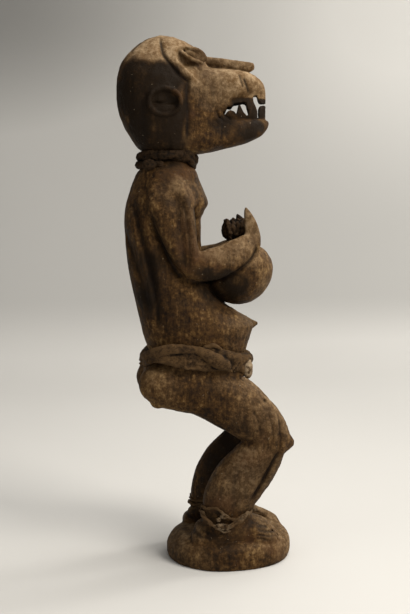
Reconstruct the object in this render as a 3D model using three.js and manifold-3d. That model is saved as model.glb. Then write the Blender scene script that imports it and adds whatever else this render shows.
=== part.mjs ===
// A carved wooden baule monkey figure: it stands on bent legs on a low mound and holds a round bowl.
// The figure is one block of wood. The neck cord, the waist cloth, the two ankle cords and the wrapped
// bundle in the bowl are pieces of their own.
// Millimetres. The figure faces +X, its left side is +Y, +Z is up, and the origin is on the flat
// underside of the base, below the middle of the figure.
import * as THREE from "three";
import { mergeVertices } from "three/addons/utils/BufferGeometryUtils.js";
import Module from "manifold-3d";

// Driving dimensions
const BASE_FRONT = 83;
const BASE_BACK = 77;
const BASE_HALF_WIDTH = 68;
const BASE_HEIGHT = 34;
const FOOT_SPREAD = 35; // from the middle plane to the middle of each foot
const LEFT_LEG_BACK = 7; // the left shin and foot stand this much further back than the right ones
const BOWL_CENTRE = new THREE.Vector3(17, 0, 366);
const BOWL_RADIUS = 41;
const BOWL_WALL = 5;
const BOWL_RIM_HEIGHT = 402;
const BOWL_MOUTH_RADIUS = 16;
const BOWL_SEAT_BACK = -48; // the wood that ties the bowl to the belly runs from here
const BOWL_SEAT_FRONT = -8; // to here
const NAVEL_TIP = 38;
const EAR_CENTRE = new THREE.Vector3(-80, 43, 570);
const EAR_HALF_LENGTH = 20;
const EAR_HALF_HEIGHT = 16;
const EYE_CENTRE = new THREE.Vector3(-43, 20.5, 626);
const CLEARANCE = 0.4; // kept between a tied piece and the wood it is tied round

// Base mound: height, and the share of its full size there towards the back, the front and each side
const BASE_PROFILE = [
  [0, 0.95, 0.955, 0.955],
  [5, 0.99, 0.99, 0.99],
  [13, 1, 1, 1],
  [22, 0.93, 0.965, 0.94],
  [29, 0.73, 0.87, 0.79],
  [BASE_HEIGHT, 0.25, 0.4, 0.3],
];

// Neck, trunk and hips: height, back, front, half width
const TRUNK = [
  [520, -100, -50, 25],
  [497, -99, -50, 25],
  [490.5, -108.5, -41, 36],
  [478, -118, -36, 43],
  [464, -123, -30, 47.5],
  [450, -127, -25, 49],
  [440, -128, -31, 49],
  [428, -128.5, -34.5, 48],
  [400, -127.5, -34, 46.5],
  [366, -123, -29, 46],
  [344, -119, -21.5, 46.5],
  [330, -116, -10, 47.5],
  [308, -111.5, 22, 50],
  [298, -109, 32, 51],
  [284, -105, 32, 50.5],
  [259, -96, 15, 47],
  [240, -105, 8, 49],
  [217, -103, -18, 40],
  [203, -86, -40, 22],
];

// Skull: height, back, front, half width
const SKULL = [
  [508, -100, -48, 26],
  [516, -110, -42, 33],
  [530, -120.5, -39, 40],
  [546, -129.5, -36, 44],
  [564, -135.3, -35, 45.5],
  [586, -136.7, -34, 45],
  [604, -134.7, -33, 42.5],
  [619, -129.5, -34, 37.5],
  [632, -119, -37, 30],
  [642, -107.5, -48, 20],
  [650, -90, -70, 5],
];

// Upper jaw and cheeks, the wood left between the jaws for the teeth, and the lower jaw:
// distance forward, underside, top, half width
const UPPER_JAW = [
  [-66, 536, 618, 39],
  [-46, 541, 616, 36],
  [-20, 549, 613.5, 30],
  [6, 569, 612, 25.5],
  [20, 575, 610, 22],
  [32, 577, 606, 17],
  [40, 580, 600, 12],
  [46.5, 586, 590, 3],
];
const TOOTH_WALL = [
  [-50, 545, 575, 33],
  [-24, 545, 575, 29],
  [14, 545, 580, 22.5],
  [31, 545, 585, 16.5],
  [40, 546, 590, 10],
  [47, 547, 588, 3.5],
];
const LOWER_JAW = [
  [-70, 504, 560, 35],
  [-46, 508, 561, 34],
  [-14, 514, 552, 30],
  [14, 520.5, 549.5, 26],
  [31, 526.5, 549.5, 20.5],
  [42, 532.5, 549.5, 14.5],
  [51, 545, 549, 4],
];

// Limbs: centre x, y and z, half depth across the limb in the side view, half width, for the +Y side
const UPPER_ARM = [
  [-82, 40, 484, 14, 6],
  [-79, 44, 468, 24, 9],
  [-74, 47.5, 446, 28.5, 10],
  [-68.5, 49, 420, 26, 10],
  [-62.5, 50, 394, 22, 10.5],
  [-57, 50, 370, 17.5, 11],
  [-55, 48, 357, 10, 8],
];
const FOREARM = [
  [-66, 47, 368, 14, 8],
  [-50, 48.5, 371, 20, 11],
  [-27, 46, 377, 20.5, 11.5],
  [-8, 41, 382, 19.5, 11],
  [8, 35, 390, 17.5, 10],
  [20, 28.5, 397, 15, 8.5],
  [29, 23, 404, 10, 7],
];
const HAND = [
  [22, 27, 389, 11, 7],
  [27, 23.5, 402, 11.5, 6],
  [28, 21.5, 414, 9.5, 5],
  [25.5, 20.5, 426, 7.5, 4.2],
  [22, 20, 437, 4.5, 3.2],
  [20, 20, 444, 1.5, 1.5],
];
const LEFT_HAND_DROP = 9; // the left hand reaches less high than the right one
const THIGH = [
  [-112, 26, 232, 7, 7],
  [-104, 27, 230.5, 19, 17],
  [-86, 28, 226.5, 26.5, 23],
  [-62, 29, 221.5, 28, 25],
  [-36, 30, 216, 29, 26],
  [-10, 32, 207.5, 32, 26],
  [15, 33.5, 193.5, 32.5, 25],
  [36, 34.5, 177, 30, 24],
  [50, 35, 160.5, 25, 22],
  [58, 35, 147, 17, 17],
];
const SHANK = [
  [51, 35, 163, 17, 16],
  [45, 35, 150, 27, 21],
  [35, 35, 137, 31.5, 22.5],
  [22, 35, 119, 34, 23],
  [9, 35, 102, 34, 22.5],
  [0, 35, 87, 32.5, 21.5],
  [-5, 35, 71, 30.5, 20],
  [-4, 35, 54, 31, 19.5],
  [-2, 35, 32, 32, 19],
];

// Foot: distance forward, underside, top, half width. Its top leans down to the outside.
const FOOT = [
  [-50, 28, 38, 9],
  [-43, 24, 48, 16],
  [-26, 22, 56, 18.5],
  [8, 22, 57, 20],
  [28, 22, 50, 21],
  [44, 22, 44, 20.5],
  [55, 24, 33, 13],
];
const FOOT_LEAN = 0.34; // rise of the top towards the middle plane for each mm across

const TOES = 5;
const TOE_ROW_WIDTH = 34;
const TOE_CUT = [[28, 51], [60, 33]]; // distance forward and height of both ends of the cuts between toes
const TOE_CUT_RADIUS = 2.4;

// Pointed knee: distance forward, height and radius of its root and of its tip
const KNEE_ROOT = [58, 153, 16];
const KNEE_TIP = [81, 150.5, 3.5];

const LEG_SIDES = 9;
const ARM_SIDES = 8;
const LEG_STEPS = 7;
const TRUNK_SIDES = 16;
const SKULL_SIDES = 14;
const TRUNK_SQUARE = 2.3;
const SKULL_SQUARE = 2.25;

const wasm = await Module();
wasm.setup();

// A closed surface over equal rings of points, with a flat fan over each end of an open row of rings.
function skin(rings, closed = false) {
  const sides = rings[0].length;
  const points = rings.flat();
  const faces = [];
  const last = closed ? rings.length : rings.length - 1;
  for (let i = 0; i < last; i++) {
    const next = (i + 1) % rings.length;
    for (let j = 0; j < sides; j++) {
      const k = (j + 1) % sides;
      const a = i * sides + j;
      const b = i * sides + k;
      const c = next * sides + k;
      const d = next * sides + j;
      faces.push([a, b, c], [a, c, d]);
    }
  }
  if (!closed) {
    [0, rings.length - 1].forEach((i) => {
      const centre = new THREE.Vector3();
      rings[i].forEach((p) => centre.addScaledVector(p, 1 / sides));
      points.push(centre);
      for (let j = 0; j < sides; j++) {
        const a = i * sides + j;
        const b = i * sides + ((j + 1) % sides);
        faces.push(i === 0 ? [points.length - 1, b, a] : [points.length - 1, a, b]);
      }
    });
  }
  return solid(points, faces);
}

// A manifold solid from points and triangles, turned so that its faces point out.
function solid(points, faces) {
  const volume = faces.reduce(
    (sum, [a, b, c]) => sum + points[a].dot(points[b].clone().cross(points[c])),
    0,
  );
  const turned = volume < 0 ? faces.map(([a, b, c]) => [a, c, b]) : faces;
  return new wasm.Manifold(
    new wasm.Mesh({
      numProp: 3,
      vertProperties: new Float32Array(points.flatMap((p) => [p.x, p.y, p.z])),
      triVerts: new Uint32Array(turned.flat()),
    }),
  );
}

// A manifold solid from a closed three.js geometry.
function solidOf(geometry) {
  geometry.deleteAttribute("normal");
  geometry.deleteAttribute("uv");
  const merged = mergeVertices(geometry, 1e-3);
  const position = merged.getAttribute("position");
  const points = [];
  for (let i = 0; i < position.count; i++) {
    points.push(new THREE.Vector3().fromBufferAttribute(position, i));
  }
  const index = merged.index.array;
  const faces = [];
  for (let i = 0; i < index.length; i += 3) {
    const face = [index[i], index[i + 1], index[i + 2]];
    if (new Set(face).size === 3) faces.push(face);
  }
  return solid(points, faces);
}

const join = (pieces) => pieces.reduce((whole, piece) => whole.add(piece));
const cut = (whole, pieces) => pieces.reduce((rest, piece) => rest.subtract(piece), whole);

// One point of a rounded outline: square is 2 for an ellipse and more for fuller corners.
function outline(angle, square) {
  const round = (value) => Math.sign(value) * Math.abs(value) ** (2 / square);
  return [round(Math.cos(angle)), round(Math.sin(angle))];
}

// Slices across one axis: place turns a slice's own (position, low to high, across) into a point.
function slices(stations, sides, place, { square = 2, grow = 0 } = {}) {
  const rings = stations.map(([at, low, high, halfWidth]) => {
    const middle = (low + high) / 2;
    const half = (high - low) / 2 + grow;
    return Array.from({ length: sides }, (unused, j) => {
      const [u, v] = outline((2 * Math.PI * (j + 0.5)) / sides, square);
      return place(at, middle + half * u, (halfWidth + grow) * v);
    });
  });
  return skin(rings);
}
const upright = (at, along, across) => new THREE.Vector3(along, across, at);
const lengthwise = (at, along, across) => new THREE.Vector3(at, across, along);

// A limb through stations of centre, half depth and half width, with domed ends.
function limb(stations, sides, steps, { side = 1, grow = 0, square = 2.2, shift = [0, 0, 0] } = {}) {
  const spine = new THREE.CatmullRomCurve3(
    stations.map(([x, y, z]) => new THREE.Vector3(x + shift[0], side * (y + shift[1]), z + shift[2])),
    false,
    "catmullrom",
    0.5,
  );
  const size = new THREE.CatmullRomCurve3(
    stations.map(([, , , deep, wide]) => new THREE.Vector3(deep, wide, 0)),
    false,
    "catmullrom",
    0.5,
  );
  const acrossAxis = new THREE.Vector3(0, 1, 0);
  const rings = Array.from({ length: steps + 1 }, (unused, i) => {
    const t = i / steps;
    const centre = spine.getPoint(t);
    const along = spine.getTangent(t);
    const wide = acrossAxis.clone().addScaledVector(along, -along.y).normalize();
    const deep = wide.clone().cross(along);
    const half = size.getPoint(t);
    return Array.from({ length: sides }, (none, j) => {
      const [u, v] = outline((2 * Math.PI * (j + 0.5)) / sides, square);
      return centre
        .clone()
        .addScaledVector(deep, (half.x + grow) * u)
        .addScaledVector(wide, (half.y + grow) * v);
    });
  });
  return skin(rings);
}

// A groove or a ridge: a thin round rod through points, on the side of the figure that is asked for.
function rod(points, radius, side = 1, sides = 6, steps = 2 * (points.length - 1)) {
  const stations = points.map(([x, y, z]) => [x, y, z, radius, radius]);
  return limb(stations, sides, steps, { side, square: 2 });
}

// A closed loop of round section along a path that takes 0 to 1 once round.
function loop(path, radius, sides, steps) {
  const rings = Array.from({ length: steps }, (unused, i) => {
    const centre = path(i / steps);
    const along = path(((i + 1) % steps) / steps).sub(path(((i + steps - 1) % steps) / steps)).normalize();
    const across = new THREE.Vector3(0, 0, 1).cross(along).normalize();
    const up = along.clone().cross(across);
    return Array.from({ length: sides }, (none, j) => {
      const angle = (2 * Math.PI * (j + 0.5)) / sides;
      return centre
        .clone()
        .addScaledVector(across, radius * Math.cos(angle))
        .addScaledVector(up, radius * Math.sin(angle));
    });
  });
  return skin(rings, true);
}

// An egg of three half sizes, turned by an angle in the side view.
function egg([x, y, z], [deep, wide, high], pitch = 0, around = 12, rows = 8) {
  const geometry = new THREE.SphereGeometry(1, around, rows);
  geometry.rotateX(Math.PI / 2);
  geometry.scale(deep, wide, high);
  geometry.rotateY(pitch);
  geometry.translate(x, y, z);
  return solidOf(geometry);
}

// A knot or a lobe of cloth: an egg at a place, turned by its pitch in the side view
const knot = ({ at, half, pitch = 0 }) => egg(at, half, pitch, 7, 5);

// A straight spike between two points, thinner at its tip.
function spike(root, tip, rootRadius, tipRadius, { side = 1, sides = 8 } = {}) {
  const stations = [
    [...root, rootRadius, rootRadius],
    [...tip, tipRadius, tipRadius],
  ];
  return limb(stations, sides, 1, { side, square: 2 });
}

// Base mound with its flat underside
function base() {
  const stations = BASE_PROFILE.map(([z, back, front, wide]) => [
    z,
    -BASE_BACK * back,
    BASE_FRONT * front,
    BASE_HALF_WIDTH * wide,
  ]);
  return slices(stations, 18, upright, { square: 2.15 });
}

// Foot on one side, with cuts between its toes
function foot(side) {
  const back = side > 0 ? LEFT_LEG_BACK : 0;
  const place = (at, along, across) => {
    const lift = along > 30 ? -FOOT_LEAN * across : 0;
    return new THREE.Vector3(at - back, side * (FOOT_SPREAD + across), along + lift);
  };
  return slices(FOOT, 8, place, { square: 2.6 });
}

function toeCuts(side) {
  const back = side > 0 ? LEFT_LEG_BACK : 0;
  return Array.from({ length: TOES - 1 }, (unused, i) => {
    const across = TOE_ROW_WIDTH * ((i + 1) / TOES - 0.5);
    const [start, end] = TOE_CUT.map(([x, z]) => [x - back, FOOT_SPREAD + across, z - FOOT_LEAN * across]);
    return rod([start, end], TOE_CUT_RADIUS, side, 3, 1);
  });
}

// Leg on one side: buttock, thigh, pointed knee and thick shank
function leg(side, grow = 0) {
  const shift = side > 0 ? [-LEFT_LEG_BACK, 0, 0] : [0, 0, 0];
  const [root, tip] = [KNEE_ROOT, KNEE_TIP].map(([x, z]) => [x + shift[0] / 2, FOOT_SPREAD, z]);
  return join([
    limb(THIGH, LEG_SIDES, LEG_STEPS, { side, grow }),
    limb(SHANK, LEG_SIDES, LEG_STEPS, { side, grow, shift }),
    spike(root, tip, KNEE_ROOT[2], KNEE_TIP[2], { side }),
  ]);
}

// The long groove behind each shin ridge
function shinGroove(side) {
  const back = side > 0 ? LEFT_LEG_BACK : 0;
  const points = [
    [59 - back / 2, FOOT_SPREAD + 17.5, 143],
    [47 - back, FOOT_SPREAD + 19.5, 122],
    [37 - back, FOOT_SPREAD + 17, 103],
    [27 - back, FOOT_SPREAD + 10.5, 80],
  ];
  return rod(points, 3, side, 4, 3);
}

// Trunk with its pointed navel, and the neck of wood that ties the bowl to the belly
function trunk(grow = 0) {
  const body = slices(TRUNK, TRUNK_SIDES, upright, { square: TRUNK_SQUARE, grow });
  if (grow) return body;
  const navel = spike([NAVEL_TIP - 12, 0, 300], [NAVEL_TIP, 0, 298.5], 7.5, 2.5, { sides: 6 });
  const bowlSeat = spike([BOWL_SEAT_BACK, 0, 352], [BOWL_SEAT_FRONT, 0, 345], 24, 22);
  return join([body, navel, bowlSeat]);
}

// How far the side of the trunk stands from the middle plane at a height and a place forward
function trunkSide(x, z) {
  const above = TRUNK.findLastIndex(([height]) => height >= z);
  const [high, low] = [TRUNK[above], TRUNK[above + 1]];
  const share = (high[0] - z) / (high[0] - low[0]);
  const [, back, front, wide] = high.map((value, i) => value + (low[i] - value) * share);
  const across = Math.abs((2 * x - back - front) / (front - back));
  return wide * (1 - Math.min(across, 1) ** TRUNK_SQUARE) ** (1 / TRUNK_SQUARE);
}

// Arm on one side: upper arm flat against the trunk, forearm, and a hand like a pointed blade
function arm(side) {
  const drop = side > 0 ? LEFT_HAND_DROP : 0;
  const hand = HAND.map(([x, y, z, deep, wide], i) => {
    const reach = i / (HAND.length - 1);
    return [x - (drop * reach) / 2, y, z - drop * reach, deep, wide];
  });
  return join([
    limb(UPPER_ARM, ARM_SIDES, 6, { side, square: 2.8 }),
    limb(FOREARM, ARM_SIDES, 6, { side, square: 2.4, shift: [0, 0, -drop / 3] }),
    limb(hand, 6, 5, { side }),
  ]);
}

// Long grooves that part the upper arm from the chest and the back, and run on down the back
const ARM_BACK_GROOVE = [[-101, 442], [-93, 418], [-84, 392], [-73, 363]];
const CHEST_GROOVE = [[-44, 462], [-40, 436], [-37, 408]];
const BACK_GROOVE = [[-120, 420], [-111, 390], [-102, 360], [-96, 330], [-92, 298]];
function trunkGrooves(side) {
  const follow = (places, out, radius) =>
    rod(places.map(([x, z]) => [x, trunkSide(x, z) + out, z]), radius, side, 4, places.length - 1);
  return [follow(ARM_BACK_GROOVE, 2.5, 3.4), follow(CHEST_GROOVE, 2, 3), follow(BACK_GROOVE, 1, 3.2)];
}

// Turned shape about the upright axis of the bowl, from a profile that starts and ends on that axis
function turned(profile, sides) {
  const points = profile.map(([radius, height]) => new THREE.Vector2(radius, height));
  const geometry = new THREE.LatheGeometry(points, sides);
  geometry.rotateX(Math.PI / 2);
  geometry.translate(...BOWL_CENTRE.toArray());
  return solidOf(geometry);
}

// Profile of a ball about the bowl's centre, from its lowest point up to where it is cut off level
function ballProfile(radius, openingRadius, steps) {
  const end = Math.PI - Math.asin(openingRadius / radius);
  return Array.from({ length: steps + 1 }, (unused, i) => {
    const angle = (end * i) / steps;
    return [i === 0 ? 0 : radius * Math.sin(angle), -radius * Math.cos(angle)];
  });
}

// Bowl: a ball of wood with a flat rim, hollowed through its round mouth
function bowlOutside() {
  const rim = BOWL_RIM_HEIGHT - BOWL_CENTRE.z;
  const rimRadius = Math.sqrt(BOWL_RADIUS ** 2 - rim ** 2);
  return turned([...ballProfile(BOWL_RADIUS, rimRadius, 7), [0, rim]], 16);
}

function bowlInside() {
  const over = BOWL_RIM_HEIGHT - BOWL_CENTRE.z + 3;
  const hollow = ballProfile(BOWL_RADIUS - BOWL_WALL, BOWL_MOUTH_RADIUS, 5);
  return turned([...hollow, [BOWL_MOUTH_RADIUS, over], [0, over]], 12);
}

// Ear: a raised oval ring round a sunk hollow
const EAR_RING_RADIUS = 3.6;
function earRing(side) {
  const steps = 12;
  const sides = 4;
  const halfLength = EAR_HALF_LENGTH - EAR_RING_RADIUS;
  const halfHeight = EAR_HALF_HEIGHT - EAR_RING_RADIUS;
  const rings = Array.from({ length: steps }, (unused, i) => {
    const [c, s] = [Math.cos((2 * Math.PI * i) / steps), Math.sin((2 * Math.PI * i) / steps)];
    const out = new THREE.Vector3(halfLength * c, 0, halfHeight * s);
    const across = side * (EAR_CENTRE.y + 1.5 - 2.5 * s ** 2);
    const centre = new THREE.Vector3(EAR_CENTRE.x, across, EAR_CENTRE.z).add(out);
    const outward = out.normalize();
    return Array.from({ length: sides }, (none, j) => {
      const angle = (2 * Math.PI * j) / sides;
      return centre
        .clone()
        .addScaledVector(outward, EAR_RING_RADIUS * Math.cos(angle))
        .add(new THREE.Vector3(0, EAR_RING_RADIUS * Math.sin(angle), 0));
    });
  });
  return skin(rings, true);
}

function earHollow(side) {
  const { x, y, z } = EAR_CENTRE;
  const half = [EAR_HALF_LENGTH - 6, 6, EAR_HALF_HEIGHT - 6];
  return egg([x, side * (y + 4), z], half, 0, 8, 4);
}

// Face: the raised rim, the sunk eye sockets with their eyes, and the nose rod on top of the muzzle
const FACE_RIM = [
  [-78, 2, 645.5, 6, 6],
  [-76.5, 16, 639, 7, 6.5],
  [-71.5, 27, 627, 7.5, 7],
  [-64, 33.5, 613.5, 7.5, 7],
  [-53, 35, 603, 7, 6],
  [-34, 32, 597, 4, 3],
];
function faceRim(side) {
  return limb(FACE_RIM, 5, 5, { side, square: 2 });
}

function faceGroove(side) {
  const points = FACE_RIM.slice(1, 5).map(([x, y, z]) => [x - 8, y + 3.5, z - 4.5]);
  return rod(points, 2.4, side, 4, 3);
}

function eye(side) {
  const { x, y, z } = EYE_CENTRE;
  return egg([x, side * y, z], [14.5, 9, 9.5], 0.25, 8, 5);
}

function eyeSlit(side) {
  const { x, y, z } = EYE_CENTRE;
  return rod([[x - 13, y + 6.5, z + 3], [x, y + 9.5, z - 1], [x + 11, y + 6, z - 5]], 1.3, side, 4, 2);
}

function eyeSocket(side) {
  const { x, y, z } = EYE_CENTRE;
  return egg([x - 3, side * (y + 11), z - 2], [19, 11, 15], 0.3, 8, 4);
}

// Brow: distance forward, underside, top, half width
const BROW = [
  [-84, 600, 649, 20],
  [-70, 600, 649, 24],
  [-58, 600, 643, 25],
  [-46, 600, 637, 24],
  [-36, 600, 630, 20],
  [-28, 602, 622, 14],
];
function brow() {
  return slices(BROW, 10, lengthwise, { square: 2.2 });
}

const NOSE_ROD = [
  [-36, 0, 620, 6, 6],
  [-25, 0, 620, 5.4, 5.4],
  [0, 0, 618, 5.2, 5.2],
  [32, 0, 615, 5.6, 5.6],
];
function noseRod() {
  return limb(NOSE_ROD, 8, 2, { square: 2.4 });
}

const CHEEK_GROOVE = [[-55, 40, 594], [-52, 41, 578], [-52, 41.5, 560], [-54, 39.5, 528]];
const FRONT_SLIT = [[17, 24, 600], [22.5, 23, 586]];
const REAR_SLIT = [[10, 25.5, 606], [15, 25.5, 588]];
function cheekCuts(side) {
  return [
    rod(CHEEK_GROOVE, 3, side, 4, 3),
    rod(FRONT_SLIT, 1.8, side, 4, 1),
    rod(REAR_SLIT, 1.4, side, 4, 1),
  ];
}

// The gaps sawn right through the jaws, which leave the teeth standing: behind and before the canine
const REAR_GAP = [
  [-6, 550],
  [-7, 562],
  [-4, 570],
  [0, 565],
  [3.5, 570],
  [7, 576],
  [20.5, 577],
  [22.5, 566],
  [23, 552],
  [19, 549.5],
  [14, 556],
  [12, 567],
  [8.5, 555],
  [5.5, 552],
  [3, 558],
  [-2, 558.5],
];
const FRONT_GAP = [
  [28, 578],
  [31.5, 584.5],
  [39, 584.5],
  [40, 573],
  [43.5, 571],
  [60, 571],
  [60, 569.5],
  [43, 569.5],
  [40, 566],
  [38.5, 549.5],
  [35.5, 549.5],
  [31, 568],
];
const SAW_LEAN = 0.13; // how far a saw cut runs forward for each mm towards the left
function gap(places) {
  const shape = new THREE.Shape(places.map(([x, z]) => new THREE.Vector2(x, z)));
  const depth = 80;
  const geometry = new THREE.ExtrudeGeometry(shape, { depth, bevelEnabled: false });
  geometry.translate(0, 0, -depth / 2);
  geometry.rotateX(Math.PI / 2);
  geometry.applyMatrix4(new THREE.Matrix4().makeShear(0, 0, SAW_LEAN, 0, 0, 0));
  return solidOf(geometry);
}

// The hollow of the mouth between the two rows of teeth: forward, underside, top, half width
const MOUTH_HOLLOW = [
  [-4, 551, 575, 13],
  [18, 550.5, 577, 11],
  [39, 550.5, 583, 3.5],
];
function mouthHollow() {
  return slices(MOUTH_HOLLOW, 4, lengthwise, { square: 8 });
}

function mouthCorner(side) {
  return egg([-7, side * 32, 560.5], [12, 7, 10.5], 0, 7, 4);
}

// The ridge of the lip round each corner of the mouth and along the lower jaw
const LIP = [
  [-17, 28.5, 571],
  [-20, 28.5, 561],
  [-13, 26.5, 551.5],
  [2, 23, 547.5],
  [20, 19, 547],
  [36, 14.5, 547.5],
];
function lip(side) {
  return rod(LIP, 2.6, side, 4, 4);
}

function head() {
  const sides = [1, -1];
  const jaws = cut(
    join([
      slices(SKULL, SKULL_SIDES, upright, { square: SKULL_SQUARE }),
      slices(UPPER_JAW, 10, lengthwise, { square: 2.6 }),
      slices(LOWER_JAW, 10, lengthwise, { square: 3.4 }),
      slices(TOOTH_WALL, 8, lengthwise, { square: 2.8 }),
      brow(),
    ]),
    [
      gap(REAR_GAP),
      gap(FRONT_GAP),
      mouthHollow(),
      ...sides.map(mouthCorner),
      ...sides.map(eyeSocket),
    ],
  );
  const raised = join([jaws, noseRod(), ...sides.flatMap((side) => [faceRim(side), eye(side), lip(side)])]);
  const carved = cut(
    raised,
    sides.flatMap((side) => [faceGroove(side), eyeSlit(side), ...cheekCuts(side)]),
  );
  return cut(join([carved, earRing(1), earRing(-1)]), [earHollow(1), earHollow(-1)]);
}

// The whole carving, as one block of wood
function figure() {
  const sides = [1, -1];
  const body = join([
    base(),
    trunk(),
    head(),
    bowlOutside(),
    ...sides.flatMap((side) => [leg(side), foot(side), arm(side)]),
  ]);
  const carved = cut(
    body,
    sides.flatMap((side) => [shinGroove(side), ...trunkGrooves(side), ...toeCuts(side)]),
  );
  return cut(carved, [bowlInside()]);
}

// A closed loop of two strands twisted about each other, as one section with two lobes that turns
const STRAND_WAIST = 0.26; // share of the radius by which the section narrows between its lobes
function twist(path, radius, turns, sides, steps) {
  const frame = (i) => {
    const along = path(((i + 1) % steps) / steps).sub(path(((i + steps - 1) % steps) / steps)).normalize();
    const across = new THREE.Vector3(0, 0, 1).cross(along).normalize();
    return [across, along.clone().cross(across)];
  };
  const rings = Array.from({ length: steps }, (unused, i) => {
    const centre = path(i / steps);
    const [across, up] = frame(i);
    return Array.from({ length: sides }, (none, j) => {
      const own = (2 * Math.PI * (j + 0.5)) / sides;
      const angle = own + (2 * Math.PI * turns * i) / steps;
      const reach = radius * (1 - STRAND_WAIST + STRAND_WAIST * Math.cos(2 * own));
      return centre
        .clone()
        .addScaledVector(across, reach * Math.cos(angle))
        .addScaledVector(up, reach * Math.sin(angle));
    });
  });
  return skin(rings, true);
}

// Neck cord: two strands twisted together, tied in a knot at the right side of the nape
const NECK_CORD = { x: -74.5, halfLength: 32.3, halfWidth: 32.3, height: 502.5, radius: 7.2, turns: 4 };
const NAPE_KNOT = { at: [-97, -26, 496], half: [9.5, 8, 6.5] };
const THROAT_KNOT = { at: [-42, -12, 499], half: [5, 7, 8] };
function neckCord() {
  const { x, halfLength, halfWidth, height, radius, turns } = NECK_CORD;
  const path = (t) => {
    const angle = 2 * Math.PI * t;
    const z = height - 1.5 * Math.cos(2 * angle);
    return new THREE.Vector3(x + halfLength * Math.cos(angle), halfWidth * Math.sin(angle), z);
  };
  const neck = slices(TRUNK.slice(0, 4), TRUNK_SIDES, upright, { square: TRUNK_SQUARE, grow: CLEARANCE });
  const nape = slices(SKULL.slice(0, 4), SKULL_SIDES, upright, { square: SKULL_SQUARE, grow: CLEARANCE });
  return cut(join([twist(path, radius, turns, 6, 30), knot(NAPE_KNOT), knot(THROAT_KNOT)]), [neck, nape]);
}

// Waist cloth: a thick twisted roll round the hips, high at the sides and low in front and behind,
// with a lobe and hanging knots in front
const WAIST = { x: -38, halfLength: 60, halfWidth: 51, height: 259, radius: 13, turns: 3 };
const WAIST_LOBE = { at: [-9, -52, 254], half: [17, 8, 10], pitch: 0.3 };
const WAIST_KNOTS = [
  { at: [17, -26, 252], half: [9, 9, 11] },
  { at: [25, -8, 239], half: [7, 8, 12] },
];
function waistCloth() {
  const { x, halfLength, halfWidth, height, radius, turns } = WAIST;
  const path = (t) => {
    const angle = 2 * Math.PI * t;
    const z = height - 2.5 * Math.cos(angle) - 6.5 * Math.cos(2 * angle);
    return new THREE.Vector3(x + halfLength * Math.cos(angle), halfWidth * Math.sin(angle), z);
  };
  const roll = join([twist(path, radius, turns, 6, 26), knot(WAIST_LOBE), ...WAIST_KNOTS.map(knot)]);
  return cut(roll, [trunk(CLEARANCE), leg(1, CLEARANCE), leg(-1, CLEARANCE)]);
}

// Ankle cord on one side: one thick strand that sags to the front and the outside, with a knot
const ANKLE_CORD = { x: -4, halfLength: 32.5, halfWidth: 23, height: 60, strand: 3.6 };
const RIGHT_ANKLE_KNOT = { at: [-10, -FOOT_SPREAD - 22, 52], half: [7, 5.5, 6.5] };
const LEFT_ANKLE_KNOT = { at: [-33 - LEFT_LEG_BACK, FOOT_SPREAD + 4, 64], half: [7, 5.5, 6.5] };
function ankleCord(side) {
  const { x, halfLength, halfWidth, height, strand } = ANKLE_CORD;
  const back = side > 0 ? LEFT_LEG_BACK : 0;
  const path = (t) => {
    const [c, s] = [Math.cos(2 * Math.PI * t), Math.sin(2 * Math.PI * t)];
    const z = height - 6 * c - 7 * Math.max(0, s);
    return new THREE.Vector3(x - back + halfLength * c, side * (FOOT_SPREAD + halfWidth * s), z);
  };
  const tied = join([loop(path, strand, 4, 13), knot(side > 0 ? LEFT_ANKLE_KNOT : RIGHT_ANKLE_KNOT)]);
  const shank = limb(SHANK, LEG_SIDES, LEG_STEPS, { side, grow: CLEARANCE, shift: [-back, 0, 0] });
  return cut(tied, [shank, foot(side)]);
}

// Bundle: a wrapped roll that lies across the mouth of the bowl and dips a little into it
const BUNDLE = { back: -5, front: 27, low: 402.4, high: 431, halfWidth: 13.5, wraps: 4 };
const BUNDLE_DIP = 7; // how far it reaches down into the mouth
function bowlBundle() {
  const { back, front, low, high, halfWidth, wraps } = BUNDLE;
  const steps = 2 * wraps;
  const stations = Array.from({ length: steps + 1 }, (unused, i) => {
    const share = i / steps;
    const dent = i % 2 ? 0 : 1.6;
    const taper = 3 * (2 * share - 1) ** 2;
    return [back + (front - back) * share, low, high - taper - dent, halfWidth - taper / 2 - dent];
  });
  const rim = BOWL_RIM_HEIGHT - BOWL_CENTRE.z;
  const plug = [
    [0, rim - BUNDLE_DIP],
    [BOWL_MOUTH_RADIUS - 5, rim - BUNDLE_DIP],
    [BOWL_MOUTH_RADIUS - 1.5, rim + 3],
    [0, rim + 3],
  ];
  return join([slices(stations, 10, lengthwise, { square: 2.8 }), turned(plug, 10)]);
}

// A solid as a named mesh with its own material
function mesh(name, made, color, roughness) {
  const { numProp, numVert, vertProperties, triVerts } = made.getMesh();
  const positions = new Float32Array(numVert * 3);
  for (let i = 0; i < numVert; i++) {
    positions.set(vertProperties.subarray(i * numProp, i * numProp + 3), i * 3);
  }
  const geometry = new THREE.BufferGeometry();
  geometry.setAttribute("position", new THREE.BufferAttribute(positions, 3));
  geometry.setIndex(new THREE.BufferAttribute(triVerts, 1));
  geometry.computeVertexNormals();
  const material = new THREE.MeshStandardMaterial({ color, roughness, metalness: 0, flatShading: true });
  const part = new THREE.Mesh(geometry, material);
  part.name = name;
  return part;
}

const group = new THREE.Group();
group.add(
  mesh("figure", figure(), 0x5a4736, 0.75),
  mesh("neck_cord", neckCord(), 0x4a3b2e, 0.9),
  mesh("waist_cloth", waistCloth(), 0x54463a, 0.95),
  mesh("right_ankle_cord", ankleCord(-1), 0x6b5a47, 0.9),
  mesh("left_ankle_cord", ankleCord(1), 0x4a3d31, 0.9),
  mesh("bowl_bundle", bowlBundle(), 0x3a2f27, 0.95),
);
export default group;
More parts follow.
